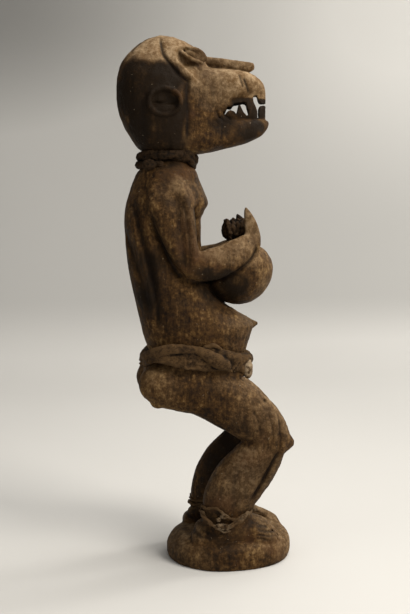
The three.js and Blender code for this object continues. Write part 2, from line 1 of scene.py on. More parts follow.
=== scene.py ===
"""The looks of a carved wooden baule monkey figure with a bowl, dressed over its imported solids.

Shapes are worked out in millimetres as distance fields and go into Blender in metres. The figure faces +X,
its left side is +Y, +Z is up and the origin is on the underside of the base.
"""

import math
from itertools import product

import bpy
import numpy as np
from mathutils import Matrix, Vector


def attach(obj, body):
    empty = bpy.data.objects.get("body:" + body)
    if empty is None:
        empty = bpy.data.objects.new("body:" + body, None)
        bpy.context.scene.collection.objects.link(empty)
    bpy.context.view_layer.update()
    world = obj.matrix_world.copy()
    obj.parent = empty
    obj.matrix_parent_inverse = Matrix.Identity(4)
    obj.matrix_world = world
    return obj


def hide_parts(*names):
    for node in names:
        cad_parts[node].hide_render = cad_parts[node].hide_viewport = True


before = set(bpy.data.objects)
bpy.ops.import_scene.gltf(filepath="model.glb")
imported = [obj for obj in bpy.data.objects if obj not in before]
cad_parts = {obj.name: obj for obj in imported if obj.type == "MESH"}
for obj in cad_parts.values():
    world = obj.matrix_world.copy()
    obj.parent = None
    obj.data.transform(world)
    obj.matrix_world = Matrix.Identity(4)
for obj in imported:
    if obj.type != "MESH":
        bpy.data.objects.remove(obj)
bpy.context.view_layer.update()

MM = 0.001

# Driving dimensions, as in the solids
BASE_FRONT = 82
BASE_BACK = 77
BASE_HALF_WIDTH = 68
BASE_HEIGHT = 34
FOOT_SPREAD = 35
LEFT_LEG_BACK = 7
BOWL_CENTRE = np.array([12.3, 0.0, 368.2])
BOWL_HALVES = np.array([44.8, 42.0, 44.8])
BOWL_SHOULDER = 36.5
BOWL_WALL = 5
BOWL_RIM_HEIGHT = 402
BOWL_MOUTH_X = 17
BOWL_MOUTH_BOTTOM = 392
BOWL_MOUTH_RADIUS = 16
EAR_CENTRE = np.array([-81.0, 43.0, 569.0])
EAR_HALF_LENGTH = 21.5
EAR_HALF_HEIGHT = 18
EYE_CENTRE = np.array([-43.0, 20.5, 626.0])
# How square a round form is: 2 is an ellipse, and more is nearer to a rectangle
TRUNK_SQUARE = 2.3
SKULL_SQUARE = 2.25
FOOT_SQUARE = 2.6
# Both sides of the figure: the left one first
SIDES = (1, -1)
# The distance that stands for far away
FAR = 60.0
# Steps of a smooth curve between each two rows of its table
CURVE_STEPS = 4
# The two other axes for each of the three axes
OTHER_AXES = ([1, 2], [0, 2], [0, 1])
# Cells along each side of a block of seeded noise, which repeats beyond them
NOISE_CELLS = 48
FIGURE_STEP = 1.3
FIGURE_TRIANGLES = 190000
NECK_TRIANGLES = 70000
WAIST_TRIANGLES = 120000
ANKLE_TRIANGLES = 45000
BUNDLE_TRIANGLES = 50000

# Base mound: height, and the share of its full size there towards the back, the front and each side
BASE_PROFILE = [
    [-6, 0.96, 0.95, 0.975], [0, 0.975, 0.965, 0.985], [5, 1, 0.99, 1], [13, 1, 1, 1],
    [22, 0.95, 0.985, 0.98], [28, 0.865, 0.94, 0.92], [BASE_HEIGHT - 1, 0.7, 0.78, 0.74],
    [BASE_HEIGHT + 1, 0.25, 0.3, 0.3],
]
# Upright forms: height, back, front, half width
TRUNK = [
    [520, -100, -50, 25], [503, -99, -50, 27], [497, -101, -48, 34], [490.5, -109, -41, 39],
    [478, -115.5, -36, 43], [464, -120.5, -30, 47.5], [450, -125, -25, 49], [440, -127.3, -30, 49],
    [428, -128.5, -34.5, 48], [400, -127.5, -34, 46.5], [366, -123, -29, 46], [344, -119, -21.5, 46.5],
    [330, -116, -10, 47.5], [308, -111.5, 22, 50], [298, -109, 32, 51], [284, -105, 28.5, 50.5],
    [271, -100, 25, 49], [259, -96, 22, 47], [240, -105, 26, 49], [217, -103, -10, 40], [203, -86, -40, 22],
]
SKULL = [
    [508, -100, -48, 26], [516, -110, -42, 33], [530, -120.5, -39, 40], [546, -129, -36, 44],
    [564, -134.7, -35, 45.5], [586, -136.2, -34, 45], [604, -134.5, -33, 42.5], [619, -129.5, -34, 37.5],
    [632, -119, -37, 30], [642, -107.5, -48, 20], [649, -93, -66, 8], [650.6, -84, -76, 2],
]
# Lengthwise forms: distance forward, underside, top, half width
UPPER_JAW = [
    [-66, 536, 618, 39], [-46, 541, 616, 36], [-20, 549, 613.5, 30], [6, 569, 612, 25.5],
    [20, 575, 610, 22], [32, 577, 606, 17], [40, 580, 600, 12], [45, 584, 594, 6], [46.5, 587, 590, 2],
]
TOOTH_WALL = [
    [-50, 545, 575, 33], [-24, 545, 575, 29], [14, 545, 580, 22.5], [31, 545, 585, 16.5],
    [40, 546, 590, 10], [47, 547, 588, 3.5],
]
LOWER_JAW = [
    [-70, 504, 562, 35], [-46, 508, 564, 34.5], [-14, 514, 554, 30], [14, 520.5, 552.5, 26],
    [31, 526.5, 552.5, 20.5], [42, 532.5, 552, 14.5], [49, 541, 551, 7], [51.5, 546, 550, 2],
]
BROW = [
    [-84, 600, 649, 20], [-70, 600, 649, 24], [-58, 600, 643, 25], [-46, 600, 637, 24], [-36, 600, 630, 20],
    [-28, 602, 622, 14],
]
FOOT = [
    [-49, 28, 38, 9], [-43, 24, 47, 15.5], [-26, 22, 56, 18.5], [8, 22, 61, 20], [28, 22, 57, 21],
    [44, 22, 49.5, 20.5], [56, 24, 40, 14], [62, 26, 33, 9],
]
LEFT_TOES = [[8, 22, 58, 20], [28, 22, 56, 21], [44, 22, 49, 21], [58, 22, 43, 18], [68, 24, 35, 11]]
FOOT_LEAN = 0.34
TOES = 5
TOE_ROW_WIDTH = 34
# Both ends of the groove between two toes: forward and up
TOE_GROOVE = ((28, 51), (60, 33))
# Limbs for the +Y side: centre x, y and z, half depth, half width
UPPER_ARM = [
    [-82, 38, 484, 13, 5], [-79, 42, 468, 22, 8.5], [-74, 47.5, 446, 28, 10], [-68, 49, 420, 25, 10],
    [-60.5, 50, 396, 20, 10.5], [-54, 50, 377, 14, 10.5], [-50, 48, 366, 8, 8],
]
FOREARM = [
    [-55, 47, 373, 11, 8], [-45, 48.5, 373.5, 17, 11], [-27, 46, 376.5, 19.5, 11.5],
    [-8, 41, 381.5, 19, 11], [8, 35, 389, 17.5, 10], [20, 28.5, 397, 15, 8.5], [29, 23, 404, 10, 7],
]
HAND = [
    [22, 27, 389, 11, 7], [27, 23.5, 402, 11.5, 6], [28, 21.5, 414, 9.5, 5], [25.5, 20.5, 426, 7.5, 4.2],
    [22, 20, 437, 4.5, 3.2], [20, 20, 444, 1.5, 1.5],
]
LEFT_HAND_DROP = 9
THIGH = [
    [-108.5, 26, 232, 7, 7], [-101, 27, 230.5, 18.5, 17], [-86, 28, 227.5, 25.5, 23],
    [-62, 29, 222, 27.5, 25], [-36, 30, 216.5, 28.5, 26], [-10, 32, 207.5, 32, 26],
    [15, 33.5, 193.5, 32.5, 25], [36, 34.5, 177, 30, 24], [50, 35, 160.5, 25, 22], [58, 35, 147, 17, 17],
]
SHANK = [
    [52, 35, 162, 14, 16], [48, 35, 150.5, 22, 20], [38.5, 35, 138.5, 28.5, 22],
    [23.5, 35, 119.5, 32.5, 23], [9, 35, 102, 34, 22.5], [0, 35, 87, 32.5, 21.5], [-5, 35, 71, 30.5, 20],
    [-4, 35, 54, 31, 19.5], [-2, 35, 32, 32, 19],
]
KNEE = [[58, 35, 153, 16, 16], [69, 35, 152.5, 11.5, 12], [76, 35, 151.5, 6.5, 7]]
NAVEL = [[18, 0, 297, 14, 15], [38, 0, 298.5, 2.5, 2.5]]
BOWL_SEAT = [[-48, 0, 357, 20, 20], [-14, 0, 359, 15, 18]]
FACE_RIM = [
    [-74.5, 2, 644.5, 8, 5], [-74, 14, 640, 8.5, 5], [-72, 25.5, 629, 8.5, 5], [-67, 32, 617, 7, 4.2],
    [-59.5, 34.5, 606.5, 5.2, 3.4], [-49, 36, 598, 3, 2.4],
]
NOSE_ROD = [
    [-36, 0, 623, 6, 6], [-26, 0, 622, 5.4, 5.6], [-12, 0, 620, 5.6, 5.6], [6, 0, 618, 5.8, 5.8],
    [24, 0, 615.6, 6, 6], [30, 0, 616.2, 4.8, 5.5],
]
NOSE_WEB = [[-38, 604, 622, 4], [-12, 603, 617, 4], [6, 602, 615, 3.5], [25, 596, 612, 2.5]]
LIP = [
    [-19, 28.5, 571], [-22.5, 28.5, 561], [-15, 26.5, 551.5], [2, 23, 547.5], [20, 19, 547],
    [36, 14.5, 547.5],
]
# The gaps sawn through the jaws: distance forward and height
REAR_GAP = [
    (-4.4, 558), (-2.2, 562.6), (-0.6, 566.6), (2.7, 565.3), (4.9, 566.7), (7.1, 570.2), (15.8, 571.2),
    (18.6, 572), (22.1, 571), (23.3, 567), (25.5, 559.7), (24.8, 556.4), (23, 555.8), (18.3, 560.7),
    (16.1, 565), (14.7, 568.4), (13.3, 568.4), (11.7, 561.7), (10.9, 558), (9.6, 557.6), (7.6, 560.1),
    (3.2, 561.6), (-0.2, 560.3), (-3.4, 557),
]
FRONT_GAP = [
    (31, 579.3), (32.8, 580.4), (36.1, 580.6), (37.2, 575.9), (38.6, 572.2), (41, 570.9), (60, 571.2),
    (60, 569.2), (42.8, 569.2), (40, 568), (38.2, 565.7), (38.2, 559.9), (38.6, 553.4), (37.2, 553),
    (36.6, 562), (35.1, 565.2), (32.9, 568.9), (31.3, 572.1),
]
SAW_LEAN = 0.13
# The open mouth between the jaws: distance forward, underside, top, half width
MOUTH = [[-4, 552, 574, 12], [18, 551, 576, 10], [39, 551, 582, 3]]
UPPER_LID = [[-60, 25, 633.5], [-50, 28, 633.5], [-41, 29, 631.5], [-34, 27, 627.5], [-29.5, 23, 621.5]]
LOWER_LID = [[-61, 26, 631], [-56, 28.5, 626], [-50, 30.5, 621.5], [-43, 30.5, 618.5], [-35, 28, 615.8]]


# A smooth function of a table's first column, which passes through every row and never overshoots
def smooth_table(rows):
    rows = np.array(rows, float)
    rows = rows[np.argsort(rows[:, 0])]
    at, values = rows[:, 0], rows[:, 1:]
    gaps = np.diff(at)
    slopes = np.diff(values, axis=0) / gaps[:, None]
    tangents = np.concatenate([slopes[:1], (slopes[1:] + slopes[:-1]) / 2, slopes[-1:]])
    least = np.minimum(np.abs(slopes[1:]), np.abs(slopes[:-1]))
    limit = np.where(slopes[1:] * slopes[:-1] > 0, 3 * least, 0)
    tangents[1:-1] = np.clip(tangents[1:-1], -limit, limit)

    def value(x):
        x = np.clip(x, at[0], at[-1])
        i = np.clip(np.searchsorted(at, x) - 1, 0, len(gaps) - 1)
        gap = gaps[i]
        t = (x - at[i]) / gap
        ease = t * t * (3 - 2 * t)
        return [
            (1 - ease) * values[i, k] + ease * values[i + 1, k]
            + gap * t * (1 - t) * ((1 - t) * tangents[i, k] - t * tangents[i + 1, k])
            for k in range(values.shape[1])
        ]

    return value


# Points along a smooth curve through rows of numbers, with the same count of steps between each two rows
def along(rows, steps, closed=False):
    rows = np.array(rows, float)
    if closed:
        padded = np.concatenate([rows[-1:], rows, rows[:2]])
    else:
        padded = np.concatenate([[2 * rows[0] - rows[1]], rows, [2 * rows[-1] - rows[-2]]])
    found = []
    for a, b, c, d in zip(padded, padded[1:], padded[2:], padded[3:]):
        linear, square, cube = c - a, 2 * a - 5 * b + 4 * c - d, 3 * b - a - 3 * c + d
        for i in range(steps):
            t = i / steps
            found.append(0.5 * (2 * b + linear * t + square * t**2 + cube * t**3))
    if not closed:
        found.append(rows[-1])
    return np.array(found)


# The lesser of two distances, rounded off where they are near to each other
def smooth_min(a, b, blend):
    share = np.clip(0.5 + 0.5 * (b - a) / blend, 0, 1)
    return b + (a - b) * share - blend * share * (1 - share)


def smooth_max(a, b, blend):
    return -smooth_min(-a, -b, blend)


# How far points are outside a rounded form, from their offsets from its centre and its half sizes
def rounded(offsets, halves, power):
    total = 1e-9
    steep = 1e-9
    for offset, half in zip(offsets, halves):
        share = np.abs(offset / half)
        total = total + share**power
        steep = steep + (share ** (power - 1) / half) ** 2
    radius = total ** (1 / power)
    slope = radius / total * np.sqrt(steep)
    return np.clip((radius - 1) / np.maximum(slope, 1e-3), -FAR, FAR)


# The share of a straight run at which it is nearest to a place, and what is left of the way to the place
def beside(offset, run, square):
    share = np.clip(sum(o * r for o, r in zip(offset, run)) / square, 0, 1)
    return share, [o - share * r for o, r in zip(offset, run)]


# How near points are to a line in the side view: one on the line, falling to nought, and softer at both ends
def fade_line(x, z, line, width):
    found = 0
    count = len(line) - 1
    for i, (a, b) in enumerate(zip(line, line[1:])):
        run = b - a
        t, left = beside((x - a[0], z - a[1]), run, run[0] ** 2 + run[1] ** 2 + 1e-9)
        share = (i + t) / count
        taper = np.clip(8 * share + 0.35, 0, 1) * np.clip(8 * (1 - share) + 0.35, 0, 1)
        found = np.maximum(found, np.exp(-(left[0] ** 2 + left[1] ** 2) / width**2) * taper)
    return found


# A form is a list of parts: lowest corner, highest corner and the distance at points x, y and z.
# This one runs through slices of a table: place, one end, the other end and half width of each.
def slices(rows, upright, power, ends=3.0, lean=0.0, centre_y=0.0, side=1, shift=0.0):
    rows = np.array(rows, float)
    table = smooth_table(rows)
    first, last = rows[:, 0].min(), rows[:, 0].max()
    low_along, high_along, wide = rows[:, 1].min(), rows[:, 2].max(), rows[:, 3].max()

    def distance(x, y, z):
        x = x - shift
        across = side * y - centre_y
        at, height = (z, x) if upright else (x, z)
        low, high, half = table(at)
        if lean:
            height = height + lean * across * np.clip((height - low) / (high - low), 0, 1)
        flat = rounded([height - (low + high) / 2, across], [(high - low) / 2, half], power)
        return smooth_max(flat, np.maximum(at - last, first - at), ends)

    extra = lean * wide
    box_y = sorted([side * (centre_y - wide), side * (centre_y + wide)])
    if upright:
        low, high = [low_along, box_y[0], first], [high_along, box_y[1], last]
    else:
        low, high = [first, box_y[0], low_along - extra], [last, box_y[1], high_along + extra]
    return [(np.array(low) + [shift, 0, 0], np.array(high) + [shift, 0, 0], distance)]


# One straight piece of a limb, from (x, y, z, deep, wide) at one end to the same at the other
def link(a, b, power):
    start, run = a[:3], b[:3] - a[:3]
    length = np.linalg.norm(run)
    tangent = run / length
    wide_way = np.array([0, 1, 0]) - tangent * tangent[1]
    wide_way /= np.linalg.norm(wide_way)
    deep_way = np.cross(wide_way, tangent)

    def distance(x, y, z):
        t, left = beside([x - start[0], y - start[1], z - start[2]], run, length**2)
        deep = a[3] + (b[3] - a[3]) * t
        wide = a[4] + (b[4] - a[4]) * t
        parts = [sum(o * w for o, w in zip(left, way)) for way in (deep_way, wide_way, tangent)]
        return rounded(parts, [deep, wide, 0.6 * np.minimum(deep, wide)], power)

    reach = max(a[3], a[4], b[3], b[4])
    return (np.minimum(a[:3], b[:3]) - reach, np.maximum(a[:3], b[:3]) + reach, distance)


# A limb through rows of its centre, half depth and half width, given for the left side
def limb(rows, side=1, shift=(0, 0, 0), power=2.2):
    points = along(rows, CURVE_STEPS)
    points[:, :3] += shift
    points[:, 1] *= side
    return [link(a, b, power) for a, b in zip(points, points[1:])]


# A round strand through points, of one radius or one for each point
def strand(points, radius, closed=False):
    points = np.array(points, float)
    radii = np.broadcast_to(radius, len(points))
    pairs = [(i, i + 1) for i in range(len(points) - 1)]
    if closed:
        pairs.append((len(points) - 1, 0))

    def piece(p, q, r, s):
        run = q - p
        square = max(run @ run, 1e-6)

        def distance(x, y, z):
            t, left = beside([x - p[0], y - p[1], z - p[2]], run, square)
            return np.sqrt(sum(o**2 for o in left)) - (r + (s - r) * t)

        reach = max(r, s)
        return (np.minimum(p, q) - reach, np.maximum(p, q) + reach, distance)

    return [piece(points[i], points[j], radii[i], radii[j]) for i, j in pairs]


# A smooth round rod through places that are given for the left side
def rod(rows, radius, side=1):
    return strand(along(np.array(rows, float) * [1, side, 1], CURVE_STEPS), radius)


# An egg, with another half height above its middle where one is given
def egg(centre, halves, pitch=0.0, upper=None):
    centre, halves = np.array(centre, float), np.array(halves, float)
    c, s = math.cos(pitch), math.sin(pitch)

    def distance(x, y, z):
        u, v, w = x - centre[0], y - centre[1], z - centre[2]
        u, w = c * u - s * w, s * u + c * w
        high = halves[2] if upper is None else np.where(w > 0, upper, halves[2])
        return rounded([u, v, w], [halves[0], halves[1], high], 2.0)

    reach = np.array([halves[[0, 2]].max(), halves[1], halves[[0, 2]].max()])
    return [(centre - reach, centre + reach, distance)]


# A saw cut right through the jaws, from the outline of what it takes away in the side view
def gap(places):
    places = np.array(places, float)

    def distance(x, y, z):
        u = x - SAW_LEAN * y
        nearest = np.full(np.broadcast(u, z).shape, FAR)
        inside = np.zeros(nearest.shape, bool)
        for a, b in zip(places, np.roll(places, -1, axis=0)):
            run = b - a
            _, left = beside((u - a[0], z - a[1]), run, run[0] ** 2 + run[1] ** 2)
            nearest = np.minimum(nearest, np.hypot(*left))
            crosses = (a[1] > z) != (b[1] > z)
            inside ^= crosses & (u < run[0] * (z - a[1]) / (run[1] + 1e-12) + a[0])
        return np.where(inside, -nearest, nearest)

    low = [places[:, 0].min() - 5, -40, places[:, 1].min()]
    high = [places[:, 0].max() + 5, 40, places[:, 1].max()]
    return [(np.array(low), np.array(high), distance)]


# The lowest and the highest corner of a form
def box_of(form):
    return np.min([part[0] for part in form], axis=0), np.max([part[1] for part in form], axis=0)


# Values between the points of a grid, from the eight corners of a cell and the share of the way through it
def between(grid, cell, share, wrap=False):
    found = 0
    for corner in product((0, 1), repeat=3):
        weight = np.abs(1 - np.array(corner) - share)
        place = cell + corner
        if wrap:
            place = place % grid.shape
        found = found + weight[:, 0] * weight[:, 1] * weight[:, 2] * grid[tuple(place.T)]
    return found


# A block of space in which forms are joined and cut, and then turned into a mesh
class Sculpt:
    def __init__(self, low, high, step):
        self.low = np.array(low, np.float32)
        self.step = step
        size = np.ceil((np.array(high) - low) / step).astype(int) + 1
        self.field = np.full(size, FAR, np.float32)

    # The part of the block that holds a box with a margin, and the x, y and z of its points
    def window(self, low, high, margin):
        first = np.maximum(((low - margin - self.low) / self.step).astype(int), 0)
        last = np.minimum(((high + margin - self.low) / self.step).astype(int) + 2, self.field.shape)
        last = np.maximum(last, first)
        axes = [self.low[k] + self.step * np.arange(first[k], last[k], dtype=np.float32) for k in range(3)]
        where = tuple(slice(a, b) for a, b in zip(first, last))
        return where, axes[0][:, None, None], axes[1][None, :, None], axes[2][None, None, :]

    def fill(self, form, margin):
        where, x, y, z = self.window(*box_of(form), margin)
        made = np.full((x.size, y.size, z.size), FAR, np.float32)
        corner = [w.start for w in where]
        for part_low, part_high, distance in form:
            part, px, py, pz = self.window(part_low, part_high, margin)
            local = tuple(slice(w.start - c, w.stop - c) for w, c in zip(part, corner))
            made[local] = np.minimum(made[local], distance(px, py, pz))
        return where, made

    def join(self, form, blend=2.0):
        where, made = self.fill(form, 2 * blend + 4)
        self.field[where] = smooth_min(self.field[where], made, blend)

    def cut(self, form, blend=1.0):
        where, made = self.fill(form, 2 * blend + 4)
        self.field[where] = smooth_max(self.field[where], -made, blend)

    # Presses a line into one side as seen from that side, or raises it where the depth is negative
    def press(self, line, width, depth, side):
        line = along(line, CURVE_STEPS)
        low = np.array([line[:, 0].min(), -FAR if side < 0 else 0, line[:, 1].min()])
        high = np.array([line[:, 0].max(), 0 if side < 0 else FAR, line[:, 1].max()])
        where, x, y, z = self.window(low, high, 2.5 * width)
        depth_here = depth * fade_line(x, z, line, width)
        self.field[where] += depth_here * np.clip(side * y / 4, 0, 1)

    # The share of solid in the space about each cell, as a cheap measure of hollows and edges
    def closeness(self, radius):
        solid = np.clip(0.5 - self.field / self.step, 0, 1)
        reach = max(1, round(radius / self.step))
        for axis in range(3):
            places = np.arange(solid.shape[axis])
            ahead = np.clip(places + reach, 0, places[-1])
            behind = np.clip(places - reach - 1, 0, None)
            for _ in range(2):
                total = np.cumsum(solid, axis=axis, dtype=np.float32)
                solid = (np.take(total, ahead, axis) - np.take(total, behind, axis)) / (2 * reach + 1)
        return solid

    # The same at points: about a half on a flat surface, more in a hollow and less on an edge
    def closeness_at(self, points, radius):
        grid = self.closeness(radius)
        place = np.clip((points - self.low) / self.step, 0, np.array(grid.shape) - 1.001)
        cell = place.astype(int)
        return between(grid, cell, place - cell)

    # Where the surface crosses the edges of each cell, on average, as a share of the cell
    def middles(self, cells):
        total = np.zeros((len(cells), 3))
        hits = np.zeros(len(cells))
        for axis, others in enumerate(OTHER_AXES):
            for sides in product((0, 1), repeat=2):
                offset = np.zeros(3, int)
                offset[others] = sides
                start = cells + offset
                end = start.copy()
                end[:, axis] += 1
                near = self.field[tuple(start.T)]
                beyond = self.field[tuple(end.T)]
                crossed = (near < 0) != (beyond < 0)
                place = np.broadcast_to(offset, total.shape).astype(float)
                place[:, axis] = near / np.where(crossed, near - beyond, 1)
                total += place * crossed[:, None]
                hits += crossed
        return total / hits[:, None]

    # The surface where the field passes through nought: a point in each cell that it crosses, and four-sided
    # faces that look outwards
    def surface(self):
        inside = self.field < 0
        size = np.array(inside.shape) - 1
        count = np.zeros(size, np.uint8)
        for corner in product((0, 1), repeat=3):
            count += inside[tuple(slice(d, n + d) for d, n in zip(corner, size))]
        active = (count > 0) & (count < 8)
        cells = np.argwhere(active)
        number = np.full(active.shape, -1, np.int64)
        number[active] = np.arange(len(cells))
        faces = []
        for axis, others in enumerate(OTHER_AXES):
            ahead = [slice(1, None)] * 3
            behind = list(ahead)
            behind[axis] = slice(None, -1)
            start = np.argwhere(inside[tuple(behind)] != inside[tuple(ahead)]) + 1
            start[:, axis] -= 1
            start = start[np.all(start[:, others] < size[others], axis=1)]
            corners = []
            for back in ((0, 0), (1, 0), (1, 1), (0, 1)):
                cell = start.copy()
                cell[:, others] -= back
                corners.append(number[tuple(cell.T)])
            quad = np.stack(corners, 1)
            solid_first = inside[tuple(start.T)]
            flip = solid_first if axis == 1 else ~solid_first
            quad[flip] = quad[flip][:, ::-1]
            faces.append(quad)
        return self.low + self.step * (cells + self.middles(cells)), np.concatenate(faces)


# Smooth seeded noise between about -1 and 1, with the given size of its cells in millimetres
class Noise:
    def __init__(self, seed):
        rng = np.random.default_rng(seed)
        self.table = rng.uniform(-1, 1, (NOISE_CELLS,) * 3).astype(np.float32)

    def __call__(self, points, cell):
        place = points / np.asarray(cell, float)
        corner = np.floor(place).astype(int)
        t = place - corner
        return between(self.table, corner, t * t * (3 - 2 * t), wrap=True)


# The way out of the surface at each point, from the faces about it
def normals_of(points, quads):
    across = points[quads[:, 2]] - points[quads[:, 0]]
    down = points[quads[:, 3]] - points[quads[:, 1]]
    face = np.cross(across, down)
    total = np.stack([np.bincount(quads.ravel(), np.repeat(face[:, k], 4), len(points)) for k in range(3)], 1)
    return total / np.maximum(np.linalg.norm(total, axis=1), 1e-9)[:, None]


# A smooth-shaded Blender object from points in millimetres and four-sided faces
def mesh_object(name, points, quads):
    mesh = bpy.data.meshes.new(name)
    mesh.vertices.add(len(points))
    mesh.vertices.foreach_set("co", (points * MM).astype(np.float32).ravel())
    mesh.loops.add(4 * len(quads))
    mesh.loops.foreach_set("vertex_index", quads.astype(np.int32).ravel())
    mesh.polygons.add(len(quads))
    mesh.polygons.foreach_set("loop_start", np.arange(0, 4 * len(quads), 4, dtype=np.int32))
    mesh.update(calc_edges=True)
    mesh.validate()
    mesh.shade_smooth()
    made = bpy.data.objects.new(name, mesh)
    bpy.context.scene.collection.objects.link(made)
    return made


# Fewer triangles where the surface is plain, with the modifier's result kept as the mesh
def lighten(piece, triangles):
    count = sum(len(p.vertices) - 2 for p in piece.data.polygons)
    if count <= triangles:
        return
    reduce = piece.modifiers.new("lighten", "DECIMATE")
    reduce.ratio = triangles / count
    shown = piece.evaluated_get(bpy.context.evaluated_depsgraph_get())
    lighter = bpy.data.meshes.new_from_object(shown)
    piece.modifiers.clear()
    heavy = piece.data
    piece.data = lighter
    bpy.data.meshes.remove(heavy)
    lighter.name = piece.name
    lighter.shade_smooth()


# One vector for each point of a piece, such as its place or its normal
def vectors_of(piece, key):
    flat = np.zeros(len(piece.data.vertices) * 3, np.float32)
    piece.data.vertices.foreach_get(key, flat)
    return flat.reshape(-1, 3)


# The points of a piece in millimetres
def points_of(piece):
    return vectors_of(piece, "co").astype(float) / MM


# A number on each point of a piece, which its material reads by name
def mark(piece, name, values):
    layer = piece.data.attributes.new(name, "FLOAT", "POINT")
    layer.data.foreach_set("value", np.asarray(values, np.float32))


# The base mound, a little wider on the figure's right side near the heel
def base_mound():
    rows = []
    for z, back, front, wide in BASE_PROFILE:
        rows.append([z, -BASE_BACK * back, BASE_FRONT * front, BASE_HALF_WIDTH * wide])
    low, high, distance = slices(rows, True, 2.15, 1.5)[0]

    def uneven(x, y, z):
        return distance(x, y / (1 + 0.035 * np.exp(-(((x + 30) / 36) ** 2)) * (y < 0)), z)

    return [(low - [0, 3, 0], high, uneven)]


# How far the shank and the foot of one leg are set back
def set_back(side):
    return LEFT_LEG_BACK if side > 0 else 0


# Thigh, shank and knee of one leg
def leg(side):
    back = set_back(side)
    shank = limb(SHANK, side, [-back, 0, 0])
    return limb(THIGH, side), shank, limb(KNEE, side, [-back / 2, 0, 0], 2.0)


# One foot, moved forward by the shift
def foot(side, shift):
    return slices(FOOT, False, FOOT_SQUARE, 3, FOOT_LEAN, FOOT_SPREAD, side, shift)


# Lines carved on both sides of the figure, as seen from the side: places forward and up, width, depth where
# negative is raised, and the darkness of the painted shade in each
CARVED_LINES = (
    (((-84, 644), (-83.2, 634), (-81.5, 624), (-75.5, 615), (-68, 605), (-60, 598), (-51, 593)), 2.3, 4, 1),
    (((-54, 594), (-54.5, 576), (-53.5, 551), (-54, 527)), 3.2, 2.2, 1.0),
    (((-53.5, 594), (-53.5, 580)), 4, 1.2, 0.9),
    (((-104, 580), (-106.5, 563), (-106.7, 547), (-104.5, 528)), 4, 1.2, 0.6),
    (((10.5, 604), (13, 597), (15.5, 589)), 1.5, 1.6, 0.8),
    (((16.5, 599.5), (19.5, 592), (23, 583)), 1.8, 2.4, 1.0),
    (((-18, 561.5), (-15.5, 553.5), (-9, 548.8)), 1.5, 1.7, 0.8),
    (((-9.5, 561), (-6.5, 555), (0, 551.7)), 1.5, 1.5, 0.8),
    (((-23.5, 562), (-21, 554), (-14.5, 547.5), (-8, 544.5)), 1.8, -1.2, 0),
    (((-14, 561), (-11, 555), (-3.6, 550.3)), 1.5, -1.0, 0),
    (((-60, 368), (-61, 388), (-62, 407), (-65, 427), (-68, 447), (-72, 462)), 6.5, 3.4, 0.25),
    (((-53.5, 372), (-53.5, 392), (-55, 414), (-58, 436), (-61, 450)), 1.6, 1.0, 0.5),
    (((-42, 398), (-43.5, 415), (-45.6, 432), (-48, 446)), 3.2, 2.4, 0.8),
    (((-48, 376), (-48.5, 396), (-50, 418), (-53, 440), (-60, 466)), 3.4, -1.8, 0),
    (((-97, 440), (-93.5, 421), (-85.5, 403.5), (-76.5, 383.5), (-69, 369), (-61, 360)), 3.6, 3.6, 0.9),
    (
        ((-117, 450), (-112.5, 427), (-105.5, 400), (-99.5, 374), (-94, 347), (-90, 320), (-89, 300)),
        4.2, 4.2, 0.9,
    ),
    (((-107, 428), (-99, 398), (-90, 374), (-84, 350)), 4, -2.0, 0),
    (((-121, 440), (-117, 410), (-109, 384), (-102, 352), (-97, 320)), 3.4, -1.8, 0),
    (((-126, 416), (-119.5, 392), (-112, 368), (-105, 345), (-99.5, 321)), 3.6, 3.6, 0.8),
    (((-47, 354), (-28, 353.5), (-11, 358.5), (8, 369.5), (21, 379.5), (29, 389), (32, 398)), 2.6, 3.6, 1.0),
    (((57.5, 145), (51.5, 136.5), (46.5, 127), (41, 116.5), (35, 104.5), (29, 94), (23.5, 84)), 2.8, 4, 1.0),
    (((63, 142), (54, 127), (45, 111), (36, 97)), 3, -1.2, 0),
    (((57, 188), (58, 172), (59, 158), (59, 145)), 1.8, 1.3, 0.8),
    (((14, 132), (6, 116), (2, 100), (0, 84)), 4.5, 0.7, 0.25),
    (((-52, 48), (-45.6, 42.3), (-36, 38.6), (-25, 37.4)), 3, 2.8, 0.8),
    (((-34, 46), (-25, 41), (-16.6, 42), (-9, 46)), 2.6, 2.2, 0.7),
)
# Fine cuts that part the toes: pressed into both feet, and darkened with painted shade on the right one
TOE_LINES = (
    (((33, 50), (46, 45)), 1.5, 1.6, 0.8), (((31, 46), (55, 39)), 1.6, 1.8, 0.8),
    (((30, 41), (51, 36.5)), 1.6, 1.8, 0.8), (((29, 37.5), (45, 33)), 1.4, 1.4, 0.7),
)
# Cracks and knocks, only on the figure's right side, darkened with painted shade
DAMAGE_LINES = (
    (((-10.4, 546), (-11, 537), (-12, 525)), 1.6, 0.8, 0.9),
    (((-119, 628.5), (-110.5, 637.5), (-100, 646), (-87, 650)), 1.2, 1.2, 1.0),
    (((40, 208.5), (40.5, 207.5)), 2, 3.5, 1.0),
    (((25, 197), (30, 186), (33, 172)), 1.6, 1.2, 0.6),
    (((44, 192), (48, 178), (50, 160)), 1.5, 1.2, 0.6),
    (((8, 128), (3, 112), (-1, 94)), 5, 0.8, 0.35),
)


